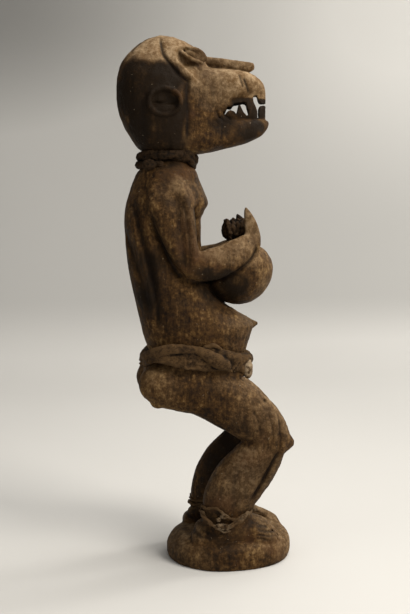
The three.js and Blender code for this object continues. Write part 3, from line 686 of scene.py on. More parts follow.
def carve_head(block):
    block.join(slices(SKULL, True, SKULL_SQUARE, 1.0), 3)
    jaws = ((UPPER_JAW, 2.6, 2, 6), (LOWER_JAW, 3.2, 2, 5), (TOOTH_WALL, 2.8, 1.5, 2))
    for rows, square, ends, blend in jaws:
        block.join(slices(rows, False, square, ends), blend)
    for side in SIDES:
        cheek = egg([-42, side * 25.5, 553], [26, 10, 19])
        block.join(cheek, 4)
    block.join(slices(BROW, False, 2.2, 4), 6)
    for places in (REAR_GAP, FRONT_GAP):
        block.cut(gap(places), 0.8)
    block.cut(slices(MOUTH, False, 4, 2), 2)
    block.join(slices(NOSE_WEB, False, 3, 1), 1.5)
    block.join(limb(NOSE_ROD, 1, power=2.4), 1)
    for side in SIDES:
        mouth_corner = egg([-7, side * 32, 560.5], [12, 7, 10.5])
        block.cut(mouth_corner, 2)
        block.join(limb(FACE_RIM, side, power=2.6), 1.2)
        carve_eye(block, side)
        block.join(rod(LIP, 2.6, side), 2)
        carve_ear(block, side)


def carve_eye(block, side):
    x, y, z = EYE_CENTRE
    socket = egg([x - 8, side * (y + 11), z - 3], [16, 10, 15], 0.5)
    ball = egg([x, side * y, z - 0.5], [14.5, 9.5, 9], 0.25)
    slit = egg([x - 4, side * (y + 10.5), z + 1], [12.5, 4.5, 4.5], 0.42)
    pupil = egg([x - 3, side * (y + 6.5), z], [10, 3, 3], 0.42)
    block.cut(socket, 1.5)
    block.join(ball, 1)
    block.cut(slit, 1)
    block.join(rod(UPPER_LID, 2.1, side), 1.2)
    block.join(rod(LOWER_LID, 1.9, side), 0.8)
    block.join(pupil, 1)


# Angles at equal steps once round
def once_round(count):
    return np.linspace(0, 2 * np.pi, count, endpoint=False)


def carve_ear(block, side):
    x, y, z = EAR_CENTRE
    long, high = EAR_HALF_LENGTH, EAR_HALF_HEIGHT
    turn = once_round(28)
    rim = np.stack([
        x + (long - 2.6) * np.cos(turn),
        side * (y + 3.2 - 2.2 * np.sin(turn) ** 2 + 0.8 * np.cos(turn)),
        z + (high - 2.6) * np.sin(turn),
    ], 1)
    dish = egg([x, side * (y + 4.5), z], [long - 3, 6, high - 3])
    lobe = egg([x - 1, side * (y - 0.5), z - 7.5], [long - 7, 4.2, 6])
    root = egg([x - 7, side * (y - 3), z + 2.5], [7, 4, 4.5])
    groove = rod([[x - 14, y + 1, z - 2], [x + 1, y, z - 2], [x + 12, y + 0.5, z]], 1.9, side)
    block.cut(dish, 1)
    block.join(strand(rim, 3, closed=True), 0.8)
    block.join(lobe, 1.5)
    block.join(root, 1.5)
    block.cut(groove, 0.6)


def carve_arm(block, side):
    drop = LEFT_HAND_DROP if side > 0 else 0
    block.join(limb(UPPER_ARM, side, power=2.6), 7)
    block.join(limb(FOREARM, side, [0, 0, -drop / 3], 2.4), 3)
    reach = drop * np.linspace(0, 1, len(HAND))
    level = 0 * reach
    hand = np.array(HAND) - np.stack([reach / 2, level, reach, level, level], 1)
    block.join(limb(hand, side), 2)


def carve_leg(block, side):
    thigh, shank, knee = leg(side)
    for form, blend in ((thigh, 6), (shank, 4), (knee, 5)):
        block.join(form, blend)
    back = set_back(side)
    block.join(foot(side, -0.6 * back), 3)
    if side > 0:
        earth = egg([55, 24, 26], [19.5, 24, 15])
        block.join(slices(LEFT_TOES, False, 2.4, 3, FOOT_LEAN, 32), 4)
        block.join(earth, 6)
    for i in range(1, TOES):
        across = TOE_ROW_WIDTH * (i / TOES - 0.5)
        y, drop = FOOT_SPREAD + across, FOOT_LEAN * across
        block.cut(rod([[x - back, y, z - drop] for x, z in TOE_GROOVE], 1.7, side), 1)


def press_lines(block, lines, side):
    for line, width, depth, _ in lines:
        block.press(line, width, depth, side)


def carve_figure():
    block = Sculpt([-143, -76, -8], [90, 76, 656], FIGURE_STEP)
    block.join(base_mound(), 1)
    block.join(slices(TRUNK, True, TRUNK_SQUARE), 3)
    block.join(limb(BOWL_SEAT), 3)
    block.join(limb(NAVEL, power=2.0), 3)
    for side in SIDES:
        carve_leg(block, side)
        press_lines(block, TOE_LINES, side)
    carve_head(block)
    block.join(egg(BOWL_CENTRE, BOWL_HALVES, 0, BOWL_SHOULDER), 1.5)
    for side in SIDES:
        carve_arm(block, side)
        press_lines(block, CARVED_LINES, side)
    press_lines(block, DAMAGE_LINES, -1)
    buttock_edge = egg([-91.5, -30, 204.5], [7.5, 9, 5], 0.3)
    block.join(buttock_edge, 2)
    block.cut(egg(BOWL_CENTRE, BOWL_HALVES - BOWL_WALL, 0, BOWL_SHOULDER - BOWL_WALL), 1)
    ends = (BOWL_MOUTH_BOTTOM, BOWL_RIM_HEIGHT + 3)
    mouth = [[BOWL_MOUTH_X, 0, z, BOWL_MOUTH_RADIUS, BOWL_MOUTH_RADIUS] for z in ends]
    block.cut(limb(mouth, power=2.0), 1)
    heights = block.low[2] + block.step * np.arange(block.field.shape[2], dtype=np.float32)
    block.field = np.maximum(block.field, -heights)
    return block


# Sum of soft round spots on both sides of the figure: centre, radius and amount of each
def blob(points, places):
    total = np.zeros(len(points))
    mirrored = np.abs(points[:, 1])
    for (x, y, z), radius, amount in places:
        square = (points[:, 0] - x) ** 2 + (mirrored - abs(y)) ** 2 + (points[:, 2] - z) ** 2
        total += amount * np.exp(-square / radius**2)
    return total


# Pale spots of dust and painted highlight, and dark spots of soot and painted shade, on both sides: place,
# reach and amount
DUST_AND_HIGHLIGHT_SPOTS = (
    ((-98, 18, 646), 34, 1.9), ((-72, 25, 632), 22, 1.3), ((-58, 32, 606), 14, 1.0),
    ((10, 12, 608), 34, 0.8), ((-40, 34, 596), 18, 0.4), ((-108, 34, 628), 15, 0.6),
    ((40, 0, 598), 24, 0.6), ((-20, 30, 590), 30, 0.35), ((26, 20, 428), 22, 0.75), ((8, 42, 394), 22, 0.6),
    ((-20, 50, 388), 18, 0.35), ((-62, 50, 470), 18, 0.3), ((-52, 50, 436), 12, 0.5),
    ((-48, 50, 405), 12, 0.3), ((-68, 40, 490), 16, 0.15), ((-30, 0, 452), 20, 0.5),
    ((45, 10, 350), 26, 0.6), ((28, 0, 300), 36, 0.2), ((0, 46, 290), 30, 0.15), ((40, 35, 200), 32, 0.5),
    ((58, 40, 172), 20, 0.2), ((30, 50, 118), 30, 0.4), ((8, 52, 96), 26, 0.25), ((58, 20, 40), 34, 0.3),
    ((60, 0, 20), 40, 0.35), ((-50, 30, 26), 44, 0.2), ((-92, 50, 225), 22, 0.15),
)
SOOT_AND_SHADE_SPOTS = (
    ((-104, 42, 592), 26, 1.5), ((-122, 32, 584), 28, 0.8), ((-100, 44, 548), 40, 1.1),
    ((-80, 46, 572), 26, 1.2), ((-70, 44, 600), 16, 0.9), ((-60, 42, 560), 12, 0.7),
    ((-80, 30, 520), 36, 1.2), ((-128, 0, 600), 50, 0.6), ((-125, 0, 430), 50, 0.5),
    ((-122, 20, 345), 46, 0.9), ((-68, 50, 408), 13, 0.7), ((-70, 50, 436), 10, 0.5),
    ((-60, 50, 382), 12, 0.7), ((-34, 50, 366), 13, 1.0), ((-46, 52, 372), 10, 0.6),
    ((-8, 50, 364), 11, 0.6), ((-90, 46, 380), 26, 0.5), ((-95, 48, 330), 26, 0.3),
    ((-75, 0, 500), 38, 0.7), ((-5, 20, 348), 32, 1.2), ((8, 40, 352), 18, 1.2), ((-30, 44, 350), 20, 0.6),
    ((72, 36, 154), 20, 0.4), ((-40, 0, 255), 40, 0.5), ((0, 30, 150), 30, 0.3), ((-10, 0, 110), 30, 0.5),
    ((-30, 50, 215), 36, 0.45), ((60, 30, 150), 16, 0.4), ((-20, 50, 290), 40, 0.4),
    ((-30, 60, 40), 14, 0.6), ((-100, 20, 205), 30, 0.2), ((42, 14, 541), 20, 1.2), ((0, 28, 532), 34, 0.9),
    ((-5, 55, 48), 26, 0.7), ((12, 6, 128), 34, 0.4), ((30, 40, 50), 26, 0.35), ((0, 60, 20), 40, 0.25),
)


# Spots of soot and painted shade on the dark gaps behind the teeth, and the block of space in which they are
TEETH_SPOTS = (((10, 0, 566), 13, 1.4), ((28, 0, 563), 13, 2.2), ((42, 0, 566), 10, 2.0))
TEETH_BOTTOM = 550
TEETH_TOP = 580
TEETH_HALF_WIDTH = 28
# Below the neck the sides that face the middle plane lie in deeper shade than above it
NECK_HEIGHT = 480


# How far wear, knife marks and grain sink the wood's surface in, in millimetres
def wood_relief(points, coarse, fine):
    uneven = 0.7 * coarse(points, 30) + 0.35 * fine(points, 12)
    knife = 0.5 * np.abs(coarse(points + 400, (9, 9, 16))) - 0.15
    grain = 0.22 * fine(points + 200, (4, 4, 40)) + 0.16 * fine(points + 600, 3.2)
    return uneven + knife + grain


# How dark the painted shade in the carved lines is at each point; the toes' cuts and the damage are shaded on
# the right side only
def line_shade(seen):
    right = seen[:, 1] < -2
    darkness = np.zeros(len(seen))
    for lines, here in ((CARVED_LINES, np.abs(seen[:, 1]) > 6), (TOE_LINES, right), (DAMAGE_LINES, right)):
        for line, width, _, dark in lines:
            near = fade_line(seen[:, 0], seen[:, 2], along(line, CURVE_STEPS), 0.8 * width)
            darkness = np.maximum(darkness, dark * here * near)
    return darkness


# One soft spot, on one side only: one at its centre, falling to nought
def soft_spot(points, centre, reach):
    return np.exp(-(((points - centre) / reach) ** 2).sum(1))


# Soot and painted shade on the dark gaps behind the teeth
def teeth_soot_and_shade(seen):
    height = seen[:, 2]
    rows = np.clip((TEETH_TOP - height) / 4, 0, 1) * np.clip((height - TEETH_BOTTOM) / 3, 0, 1)
    return blob(seen * [1, 0, 1], TEETH_SPOTS) * rows * (np.abs(seen[:, 1]) < TEETH_HALF_WIDTH)


# Pale dust and painted highlight, and dark soot and painted shade, at each point, from spots, slopes, hollows
# and sides that face the middle plane
def dust_soot_and_painted_light(block, seen, facing, patch):
    hollow = block.closeness_at(seen, 4) - 0.5
    deep = block.closeness_at(seen, 12) - 0.5
    pale = blob(seen, DUST_AND_HIGHLIGHT_SPOTS) * (0.75 + 0.35 * patch)
    # Painted top light along with dust where the surface faces up, and painted shade that takes the pale away
    # in hollows
    pale = pale + 0.25 * np.clip(facing[:, 2], 0, 1) - 1.6 * np.clip(hollow, 0, 1)
    soot_and_shade = blob(seen, SOOT_AND_SHADE_SPOTS) * (0.8 + 0.4 * patch)
    # Painted shade in small hollows and in deep recesses
    soot_and_shade = soot_and_shade + 3 * np.clip(hollow - 0.17, 0, 1) + 1.8 * np.clip(deep - 0.1, 0, 1)
    # Painted shade on the sides that face the middle plane
    off_middle = np.clip((np.abs(seen[:, 1]) - 6) / 6, 0, 1)
    inner = np.clip(-np.sign(seen[:, 1]) * facing[:, 1] - 0.1, 0, 1) * off_middle
    soot_and_shade = soot_and_shade + inner * np.where(seen[:, 2] < NECK_HEIGHT, 0.5, 0.3)
    # Painted shade on the left hand, and on the left leg where it faces backwards
    left_hand = soft_spot(seen, [16, 20, 428], 20) * (seen[:, 1] > 5)
    left_leg = soft_spot(seen, [0, 40, 120], [60, 30, 70]) * (seen[:, 1] > 0)
    soot_and_shade = soot_and_shade + 1.4 * left_hand + 0.4 * left_leg * np.clip(0.2 - facing[:, 0], 0, 1)
    soot_and_shade = np.maximum(soot_and_shade, teeth_soot_and_shade(seen))
    pale = pale - 0.9 * np.clip(soot_and_shade - 0.2, 0, None)
    soot_and_shade = 1.35 * np.clip(soot_and_shade - 0.26, 0, None)
    return np.clip(pale, 0, 1), np.clip(soot_and_shade, 0, 0.95)


# The wooden figure: one block of wood
def make_figure():
    block = carve_figure()
    points, quads = block.surface()
    normals = normals_of(points, quads)
    coarse, fine = Noise(11), Noise(12)
    sink = wood_relief(points, coarse, fine) * np.clip(points[:, 2] / 3, 0, 1)
    on_edge = block.closeness_at(points, 5) < 0.28
    sink *= np.where(on_edge, 0.4, 1)
    figure = mesh_object("carved_figure", points - normals * sink[:, None], quads)
    lighten(figure, FIGURE_TRIANGLES)
    seen = points_of(figure)
    patch = coarse(seen + 50, 24) + 0.6 * fine(seen + 70, 9)
    pale, soot_and_shade = dust_soot_and_painted_light(block, seen, vectors_of(figure, "normal"), patch)
    # Marks that the wood material reads: painted shade in the carved lines, pale dust with painted highlight,
    # and soot with painted shade
    mark(figure, "line", line_shade(seen))
    mark(figure, "pale", pale)
    mark(figure, "soot_and_shade", soot_and_shade)
    return figure


# Strands laid round a closed path, which turn about it as they go; the thickness is their share of the radius
def rope(path, radius, strands, turns, steps, thickness):
    share = np.arange(steps) / steps
    centre = np.array([path(t) for t in share])
    ahead = np.roll(centre, -1, 0) - np.roll(centre, 1, 0)
    ahead /= np.linalg.norm(ahead, axis=1)[:, None]
    out = np.cross(ahead, [0, 0, 1.0])
    out /= np.linalg.norm(out, axis=1)[:, None]
    up = np.cross(out, ahead)
    form = []
    for k in range(strands):
        angle = 2 * np.pi * (turns * share + k / strands)
        offset = out * np.cos(angle)[:, None] + up * np.sin(angle)[:, None]
        form += strand(centre + offset * radius * (1 - thickness), radius * thickness, closed=True)
    return form


# A knot: short strands wound over each other about a middle, each with its own seeded tilt
def knot(centre, halves, radius, turns, seed):
    rng = np.random.default_rng(seed)
    form = egg(centre, np.array(halves) * 0.72)
    angle = once_round(14)
    for _ in range(turns):
        tilt = rng.uniform(0, np.pi)
        lean = rng.uniform(0.25, 1.1)
        ring = np.stack([np.cos(angle), np.sin(angle) * math.cos(lean), np.sin(angle) * math.sin(lean)], 1)
        turned = np.stack([
            ring[:, 0] * math.cos(tilt) - ring[:, 2] * math.sin(tilt),
            ring[:, 1],
            ring[:, 0] * math.sin(tilt) + ring[:, 2] * math.cos(tilt),
        ], 1)
        form += strand(np.array(centre) + turned * (np.array(halves) - radius), radius, closed=True)
    return form


# A sculpted piece as a Blender object, with a crusted surface and marks for its hollows, where its material
# paints shade
def finish_piece(block, name, triangles, crust, cell, seed):
    points, quads = block.surface()
    normals = normals_of(points, quads)
    coarse, fine = Noise(seed), Noise(seed + 1)
    sink = crust * (coarse(points, cell) + 0.6 * fine(points, cell / 2.3))
    piece = mesh_object(name, points - normals * sink[:, None], quads)
    lighten(piece, triangles)
    hollow = block.closeness_at(points_of(piece), 1.6) - 0.5
    mark(piece, "hollow", np.clip(0.5 + 2.2 * hollow, 0, 1))
    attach(piece, "root")
    return piece


# Cuts away what is inside the wood, or nearer to it than the clearance
def keep_off_wood(block, forms, clearance=0.3):
    for form in forms:
        where, made = block.fill(form, 4)
        block.field[where] = np.maximum(block.field[where], clearance - made)


# The middle of the neck and of the waist, forward
NECK_X = -74.5
WAIST_X = -38

# The line of the two strands that lie across the throat, from the figure's right to its left
THROAT = [
    [-56, -27, 507], [-49, -23, 501], [-45, -14, 495.5], [-43.5, 0, 494], [-45, 14, 496.5], [-50, 24, 502],
]
THROAT_LUMPS = 7


def make_neck_cord():
    block = Sculpt([-117, -43, 484], [-32, 43, 518], 0.8)

    def upper(share):
        angle = 2 * np.pi * share
        rise = -0.5 * math.cos(angle) - math.cos(2 * angle)
        return [NECK_X + 31 * math.cos(angle), 30.5 * math.sin(angle), 506.5 + rise]

    block.join(rope(upper, 7.4, strands=2, turns=2, steps=150, thickness=0.68), 0.5)
    lower = []
    for angle in np.linspace(math.radians(118), math.radians(252), 26):
        height = 496.5 - 1.5 * math.sin(2 * angle)
        lower.append([NECK_X + 34.5 * math.cos(angle), 33 * math.sin(angle), height])
    block.join(strand(lower, 5), 0.8)
    for lift, radius in (([0, 0, 0], 4.2), ([0.5, 0, 7], 3.8)):
        block.join(strand(along(np.array(THROAT) + lift, 5), radius), 0.4)
    for k in range(THROAT_LUMPS):
        angle = math.radians(-36 + 12 * k)
        lump = egg([NECK_X + 34 * math.cos(angle), 31 * math.sin(angle), 498], [2.6, 2.6, 7.5], 0.6)
        block.join(lump, 0.8)
    block.join(egg([-98.5, -31.5, 495.5], [8.5, 6, 6.5], 0.2), 1)
    block.join(knot([-99, -31, 495.5], [9, 7.5, 7], 2.6, turns=3, seed=12), 1)
    trunk_top = slices(TRUNK[:5], True, TRUNK_SQUARE, 0.5)
    keep_off_wood(block, [trunk_top, slices(SKULL[:4], True, SKULL_SQUARE, 0.5)])
    piece = finish_piece(block, "neck_rope", NECK_TRIANGLES, crust=0.8, cell=3.2, seed=21)
    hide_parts("neck_cord")
    return piece


# The flat lower band of the cloth: places round the waist and half heights
BAND = [
    [-104, 0, 252, 6], [-102, -20, 256, 6], [-96, -37, 262, 5.5], [-85, -47.5, 264, 7],
    [-66, -52.5, 262, 9.5], [-50, -53.5, 260.5, 11], [-33, -52, 257, 10], [-15, -48.5, 254.5, 8],
    [-2, -43.5, 253, 8], [10, -36, 251, 8], [18, -25, 247, 10], [24, -8, 252, 7], [24, 8, 253, 7],
    [19, 24, 254, 7], [8, 37, 255, 7], [-10, 47, 257, 7.5], [-33, 52, 259, 8], [-60, 52.5, 261, 8],
    [-85, 47.5, 262, 7], [-97, 34, 259, 6], [-102.5, 18, 254, 6],
]
# Rolls over it, with their radii
OUTER_ROLL = [
    [-90, 45, 265, 6.5], [-99, 30, 260, 6.2], [-103, 12, 259, 6.2], [-104, -6, 260, 6.2],
    [-102, -24, 263, 6.2], [-95, -40, 269, 6.2], [-77, -51.5, 275, 6.6], [-60, -54, 275.3, 5.8],
    [-47, -54.5, 274.6, 5], [-37, -55, 271, 6], [-29, -55, 266, 7.6], [-20, -54.5, 260.5, 9],
    [-13, -53, 256.5, 8.4], [-8, -51.5, 253.5, 6],
]
FRONT_ROLL = [
    [-30, -50, 274, 4.5], [-16, -48.5, 268.5, 6.5], [-3, -44, 263, 7.5], [9, -36.5, 259.5, 7.5],
    [18, -26, 257.5, 7.5], [24, -12, 255.5, 7.5], [25.5, 4, 255, 7.5], [21, 20, 257, 7.5],
    [9, 35, 260, 7.5], [-12, 47, 265, 7], [-40, 52.5, 271, 6.5], [-70, 51.5, 269, 6.5], [-90, 45, 265, 6.5],
]
HOOK = [[-34, -52, 277], [-26, -53.5, 279.5], [-20, -53, 277.5], [-14, -51, 272], [-10, -49, 266]]
HANGING_END = np.array([21.5, -26, 246.0])
HANGING_TILT = -0.12
BAND_TUFTS = 60


def make_waist_cloth():
    block = Sculpt([-114, -70, 222], [40, 70, 290], 1.0)
    band = along(BAND, 5, closed=True)
    for level in (-1, 0, 1):
        strip = band[:, :3].copy()
        strip[:, 2] += level * (band[:, 3] - 4.5)
        block.join(strand(strip, 4.6 - 0.5 * abs(level), closed=True), 2.5)
    for rows, blend in ((OUTER_ROLL, 1.4), (FRONT_ROLL, 1)):
        path = along(rows, 6)
        block.join(strand(path[:, :3], path[:, 3]), blend)
    block.join(strand(along(HOOK, 5), 2.6), 0.8)
    block.cut(egg(HANGING_END + [0, -2, 0], [9, 6, 15], HANGING_TILT), 0.5)
    block.join(egg(HANGING_END, [7.4, 6, 13.6], HANGING_TILT), 0.3)
    back_knot = egg([-102.5, -27, 262], [6, 8, 6])
    block.join(back_knot, 1)
    block.press(((-96, 270), (-80, 277), (-60, 277.5), (-44, 274)), 1.5, 0.9, -1)
    block.press(((-92, 266), (-78, 271.5), (-60, 272), (-47, 270.5)), 1.3, -0.8, -1)
    rng = np.random.default_rng(23)
    for k in rng.permutation(len(band))[:BAND_TUFTS]:
        x, y, _, high = band[k]
        out = np.array([x - WAIST_X, 1.4 * y, 0])
        place = band[k, :3] + out / np.linalg.norm(out) * 4 + [0, 0, rng.uniform(-1, 1) * (high - 1)]
        block.join(egg(place, [rng.uniform(1.8, 4), 1.8, rng.uniform(1.2, 2.4)], rng.uniform(-0.8, 0.8)), 1)
    thighs = [leg(side)[0] for side in SIDES]
    keep_off_wood(block, [slices(TRUNK, True, TRUNK_SQUARE), *thighs])
    piece = finish_piece(block, "waist_wrap", WAIST_TRIANGLES, crust=0.6, cell=5, seed=31)
    offset = (points_of(piece) - HANGING_END) / [7.5, 7, 13.5]
    mark(piece, "pale", np.exp(-((offset**2).sum(1) ** 3)))
    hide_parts("waist_cloth")
    return piece


# A cord round an ankle and its loose strands: forward and outward from the shank's middle, and height
ANKLE_LOOP = [
    [-33, 0, 68], [-31, 13, 64], [-23, 20.5, 57], [-13, 23.5, 52.5], [-1, 24, 53.5], [11, 22, 59],
    [22, 16, 64.5], [29, 6, 68], [29.5, -6, 68], [22, -17, 66], [4, -22.5, 63], [-16, -20, 64],
    [-29, -11, 67],
]
UPPER_LOOP = [
    [-32, 0, 74], [-28, 15, 75], [-18, 21, 77], [-11, 22.5, 73], [-3, 23, 66.5], [6, 22.5, 62.5],
    [19, 17, 67], [28, 5, 71], [28, -8, 71], [16, -19, 69], [-10, -21, 69], [-27, -12, 72],
]
ANKLE_LUMPS = [
    [-12, 24.5, 54.5, 8, 4.5, 4.5], [-6, 24, 53, 5, 4, 4], [-8, 23, 67, 5, 3.6, 3.6],
    [-14, 22.5, 63, 3.5, 3, 3], [16, 19, 63, 4, 3.5, 3.2], [23, 14, 67.5, 4.5, 3.5, 3.4],
    [31, 4, 70, 4.5, 4, 3.6], [35, -3, 66, 4, 4, 3.2], [-31, 6, 66, 4, 4.5, 4],
]
ANKLE_ENDS = [
    [[-3, 24, 54], [3, 24, 58], [9, 22, 62.5]], [[-14, 23, 51], [-8, 24.5, 47.5], [-1, 24, 48.5]],
]


def make_ankle_cord(side):
    name = "left_ankle" if side > 0 else "right_ankle"
    middle = [-4 - set_back(side), side * FOOT_SPREAD, 0]
    low, high = np.array([-44, -34, 38]), np.array([44, 34, 90])
    block = Sculpt(low + middle, high + middle, 0.7)
    lower_back = [0, 0, 11 if side > 0 else 0]

    def placed(rows):
        rows = np.array(rows, float)
        behind = np.clip(-rows[:, :1] / 30, 0, 1)
        return rows[:, :3] * [1, side, 1] + middle - behind * lower_back

    for rows, radius, turns in ((ANKLE_LOOP, 2.8, 6), (UPPER_LOOP, 1.9, 7)):
        path = along(placed(rows), 8, closed=True)
        steps = len(path)
        loop = rope(lambda share: path[int(share * steps) % steps], radius, 2, turns, steps, thickness=0.62)
        block.join(loop, 0.5)
    lumps = [(place, row[3:]) for row, place in zip(ANKLE_LUMPS, placed(ANKLE_LUMPS))]
    for place, halves in lumps:
        block.join(knot(place, halves, 1.7, turns=3, seed=int(halves[0] * 10)), 0.5)
    for rows in ANKLE_ENDS:
        block.join(strand(along(placed(rows), 4), 1.4), 0.4)
    keep_off_wood(block, [leg(side)[1], foot(side, -set_back(side))])
    piece = finish_piece(block, name + "_rope", ANKLE_TRIANGLES, crust=0.4, cell=3, seed=41 + side)
    seen = points_of(piece)
    spots = sum(np.exp(-((seen - place) ** 2).sum(1) / max(halves) ** 2) for place, halves in lumps)
    mark(piece, "pale", np.clip(0.3 * spots, 0, 1))
    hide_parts(name + "_cord")
    return piece


# The bundle in the bowl's mouth: its two ends, the height of its middle, its rings and its lumps
BUNDLE_BACK = -4
BUNDLE_FRONT = 27
BUNDLE_MIDDLE = 416.5
BUNDLE_RINGS = 5
BUNDLE_LUMPS = 26


def make_bundle():
    block = Sculpt([-9, -18, 391], [33, 18, 434], 0.6)
    ends = [[x, 0, 416, 10, 9.5] for x in (BUNDLE_BACK + 3, BUNDLE_FRONT - 3)]
    block.join(limb([ends[0], [11, 0, 416.5, 11, 11], ends[1]], power=2.4), 1)
    rng = np.random.default_rng(17)
    turn = once_round(20)
    for x in np.linspace(BUNDLE_BACK + 5, BUNDLE_FRONT - 4, BUNDLE_RINGS):
        reach = 10.5 + rng.uniform(-1, 1.2) + 0.8 * np.sin(3 * turn + x)
        lean = rng.uniform(-3, 3)
        up = BUNDLE_MIDDLE + reach * np.sin(turn)
        ring = np.stack([x + lean * np.sin(turn), reach * np.cos(turn), up], 1)
        block.join(strand(ring, 3, closed=True), 1)
    for _ in range(BUNDLE_LUMPS):
        angle = rng.uniform(0, 2 * np.pi)
        x = rng.uniform(BUNDLE_BACK + 2, BUNDLE_FRONT - 2)
        place = [x, 12 * math.cos(angle), BUNDLE_MIDDLE + 12 * math.sin(angle)]
        block.join(egg(place, rng.uniform(1.8, 3.6, 3), rng.uniform(-1, 1)), 0.8)
    plug = limb([[BOWL_MOUTH_X, 0, 396.5, 10, 10], [BOWL_MOUTH_X, 0, 404, 13.5, 13.5]], power=2.0)
    block.join(plug, 1)
    piece = finish_piece(block, "wrapped_bundle", BUNDLE_TRIANGLES, crust=0.7, cell=3.4, seed=51)
    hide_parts("bowl_bundle")
    return piece


# Short ways to make the nodes of one material; a value is a number, a colour or another node's output
class Nodes:
    def __init__(self, name):
        self.material = bpy.data.materials.new(name)
        self.material.use_nodes = True
        self.tree = self.material.node_tree
        self.tree.nodes.clear()
        output = self.tree.nodes.new("ShaderNodeOutputMaterial")
        self.shader = self.tree.nodes.new("ShaderNodeBsdfPrincipled")
        self.link(self.shader.outputs[0], output.inputs[0])
        self.place = self.tree.nodes.new("ShaderNodeTexCoord").outputs["Object"]

    def link(self, source, target):
        if hasattr(source, "is_output"):
            self.tree.links.new(source, target)
        elif isinstance(source, tuple):
            target.default_value = (*source, 1.0)
        else:
            target.default_value = source

    def add(self, kind, inputs, **settings):
        node = self.tree.nodes.new(kind)
        for key, value in settings.items():
            setattr(node, key, value)
        for key, value in inputs.items():
            self.link(value, node.inputs[key])
        return node

    # Fine noise: more scale means smaller grain
    def noise(self, scale, detail, rough, stretch=(1, 1, 1), distortion=0.0):
        scales = [scale * k for k in stretch]
        mapping = self.add("ShaderNodeMapping", {"Scale": scales, "Vector": self.place})
        inputs = {"Vector": mapping.outputs[0], "Scale": 1, "Detail": detail, "Roughness": rough}
        return self.add("ShaderNodeTexNoise", {**inputs, "Distortion": distortion}).outputs["Fac"]

    # One of the three coordinates of the object, in metres
    def along_axis(self, axis):
        return self.add("ShaderNodeSeparateXYZ", {0: self.place}).outputs[axis]

    def attribute(self, name):
        return self.add("ShaderNodeAttribute", {}, attribute_name=name).outputs["Fac"]

    def math(self, operation, a, b):
        return self.add("ShaderNodeMath", {0: a, 1: b}, operation=operation).outputs[0]

    def times(self, a, b):
        return self.math("MULTIPLY", a, b)

    # A sum of values, each with its weight
    def weighted(self, first, *others):
        total = self.times(*first)
        for value, weight in others:
            total = self.math("ADD", total, self.times(value, weight))
        return total

    # A value brought from one range to another, and kept inside it
    def span(self, value, low, high, to_low=0.0, to_high=1.0):
        inputs = {"Value": value, "From Min": low, "From Max": high, "To Min": to_low, "To Max": to_high}
        return self.add("ShaderNodeMapRange", inputs, interpolation_type="SMOOTHSTEP").outputs[0]

    def mix(self, share, a, b):
        return self.add("ShaderNodeMix", {0: share, 6: a, 7: b}, data_type="RGBA").outputs[2]

    def ramp(self, value, stops):
        node = self.add("ShaderNodeValToRGB", {0: value})
        while len(node.color_ramp.elements) < len(stops):
            node.color_ramp.elements.new(0.5)
        for element, (place, color) in zip(node.color_ramp.elements, stops):
            element.position = place
            element.color = (*color, 1.0)
        return node.outputs[0]

    # Bumps laid over each other: height, strength and distance of each
    def bumps(self, *layers):
        normal = None
        for height, strength, distance in layers:
            node = self.add("ShaderNodeBump", {"Height": height, "Strength": strength, "Distance": distance})
            if normal:
                self.link(normal, node.inputs["Normal"])
            normal = node.outputs[0]
        return normal

    def close(self, color, roughness, normal):
        for key, value in (("Base Color", color), ("Roughness", roughness), ("Normal", normal)):
            self.link(value, self.shader.inputs[key])
        return self.material


# Dark to pale wood by its tone
WOOD_TONES = (
    (0.41, (0.007, 0.0033, 0.0011)), (0.47, (0.022, 0.0105, 0.003)), (0.51, (0.043, 0.0212, 0.0065)),
    (0.55, (0.075, 0.039, 0.0125)), (0.6, (0.16, 0.096, 0.037)),
)
RED_WOOD = (0.055, 0.024, 0.009)
# Worn wood and dust also stand in for painted highlight, and stained wood and soot for painted shade
WORN_AND_LIT_WOOD = (0.15, 0.084, 0.032)
STAINED_AND_SHADED_WOOD = (0.034, 0.0175, 0.0065)
DUST_AND_HIGHLIGHT = (0.345, 0.256, 0.16)
SOOT_AND_SHADE_BLACK = (0.008, 0.0042, 0.0014)
SPECK = (0.36, 0.29, 0.2)
DEEP_SHADE = (0.006, 0.0035, 0.002)
PALE_CLOTH = (0.38, 0.29, 0.19)


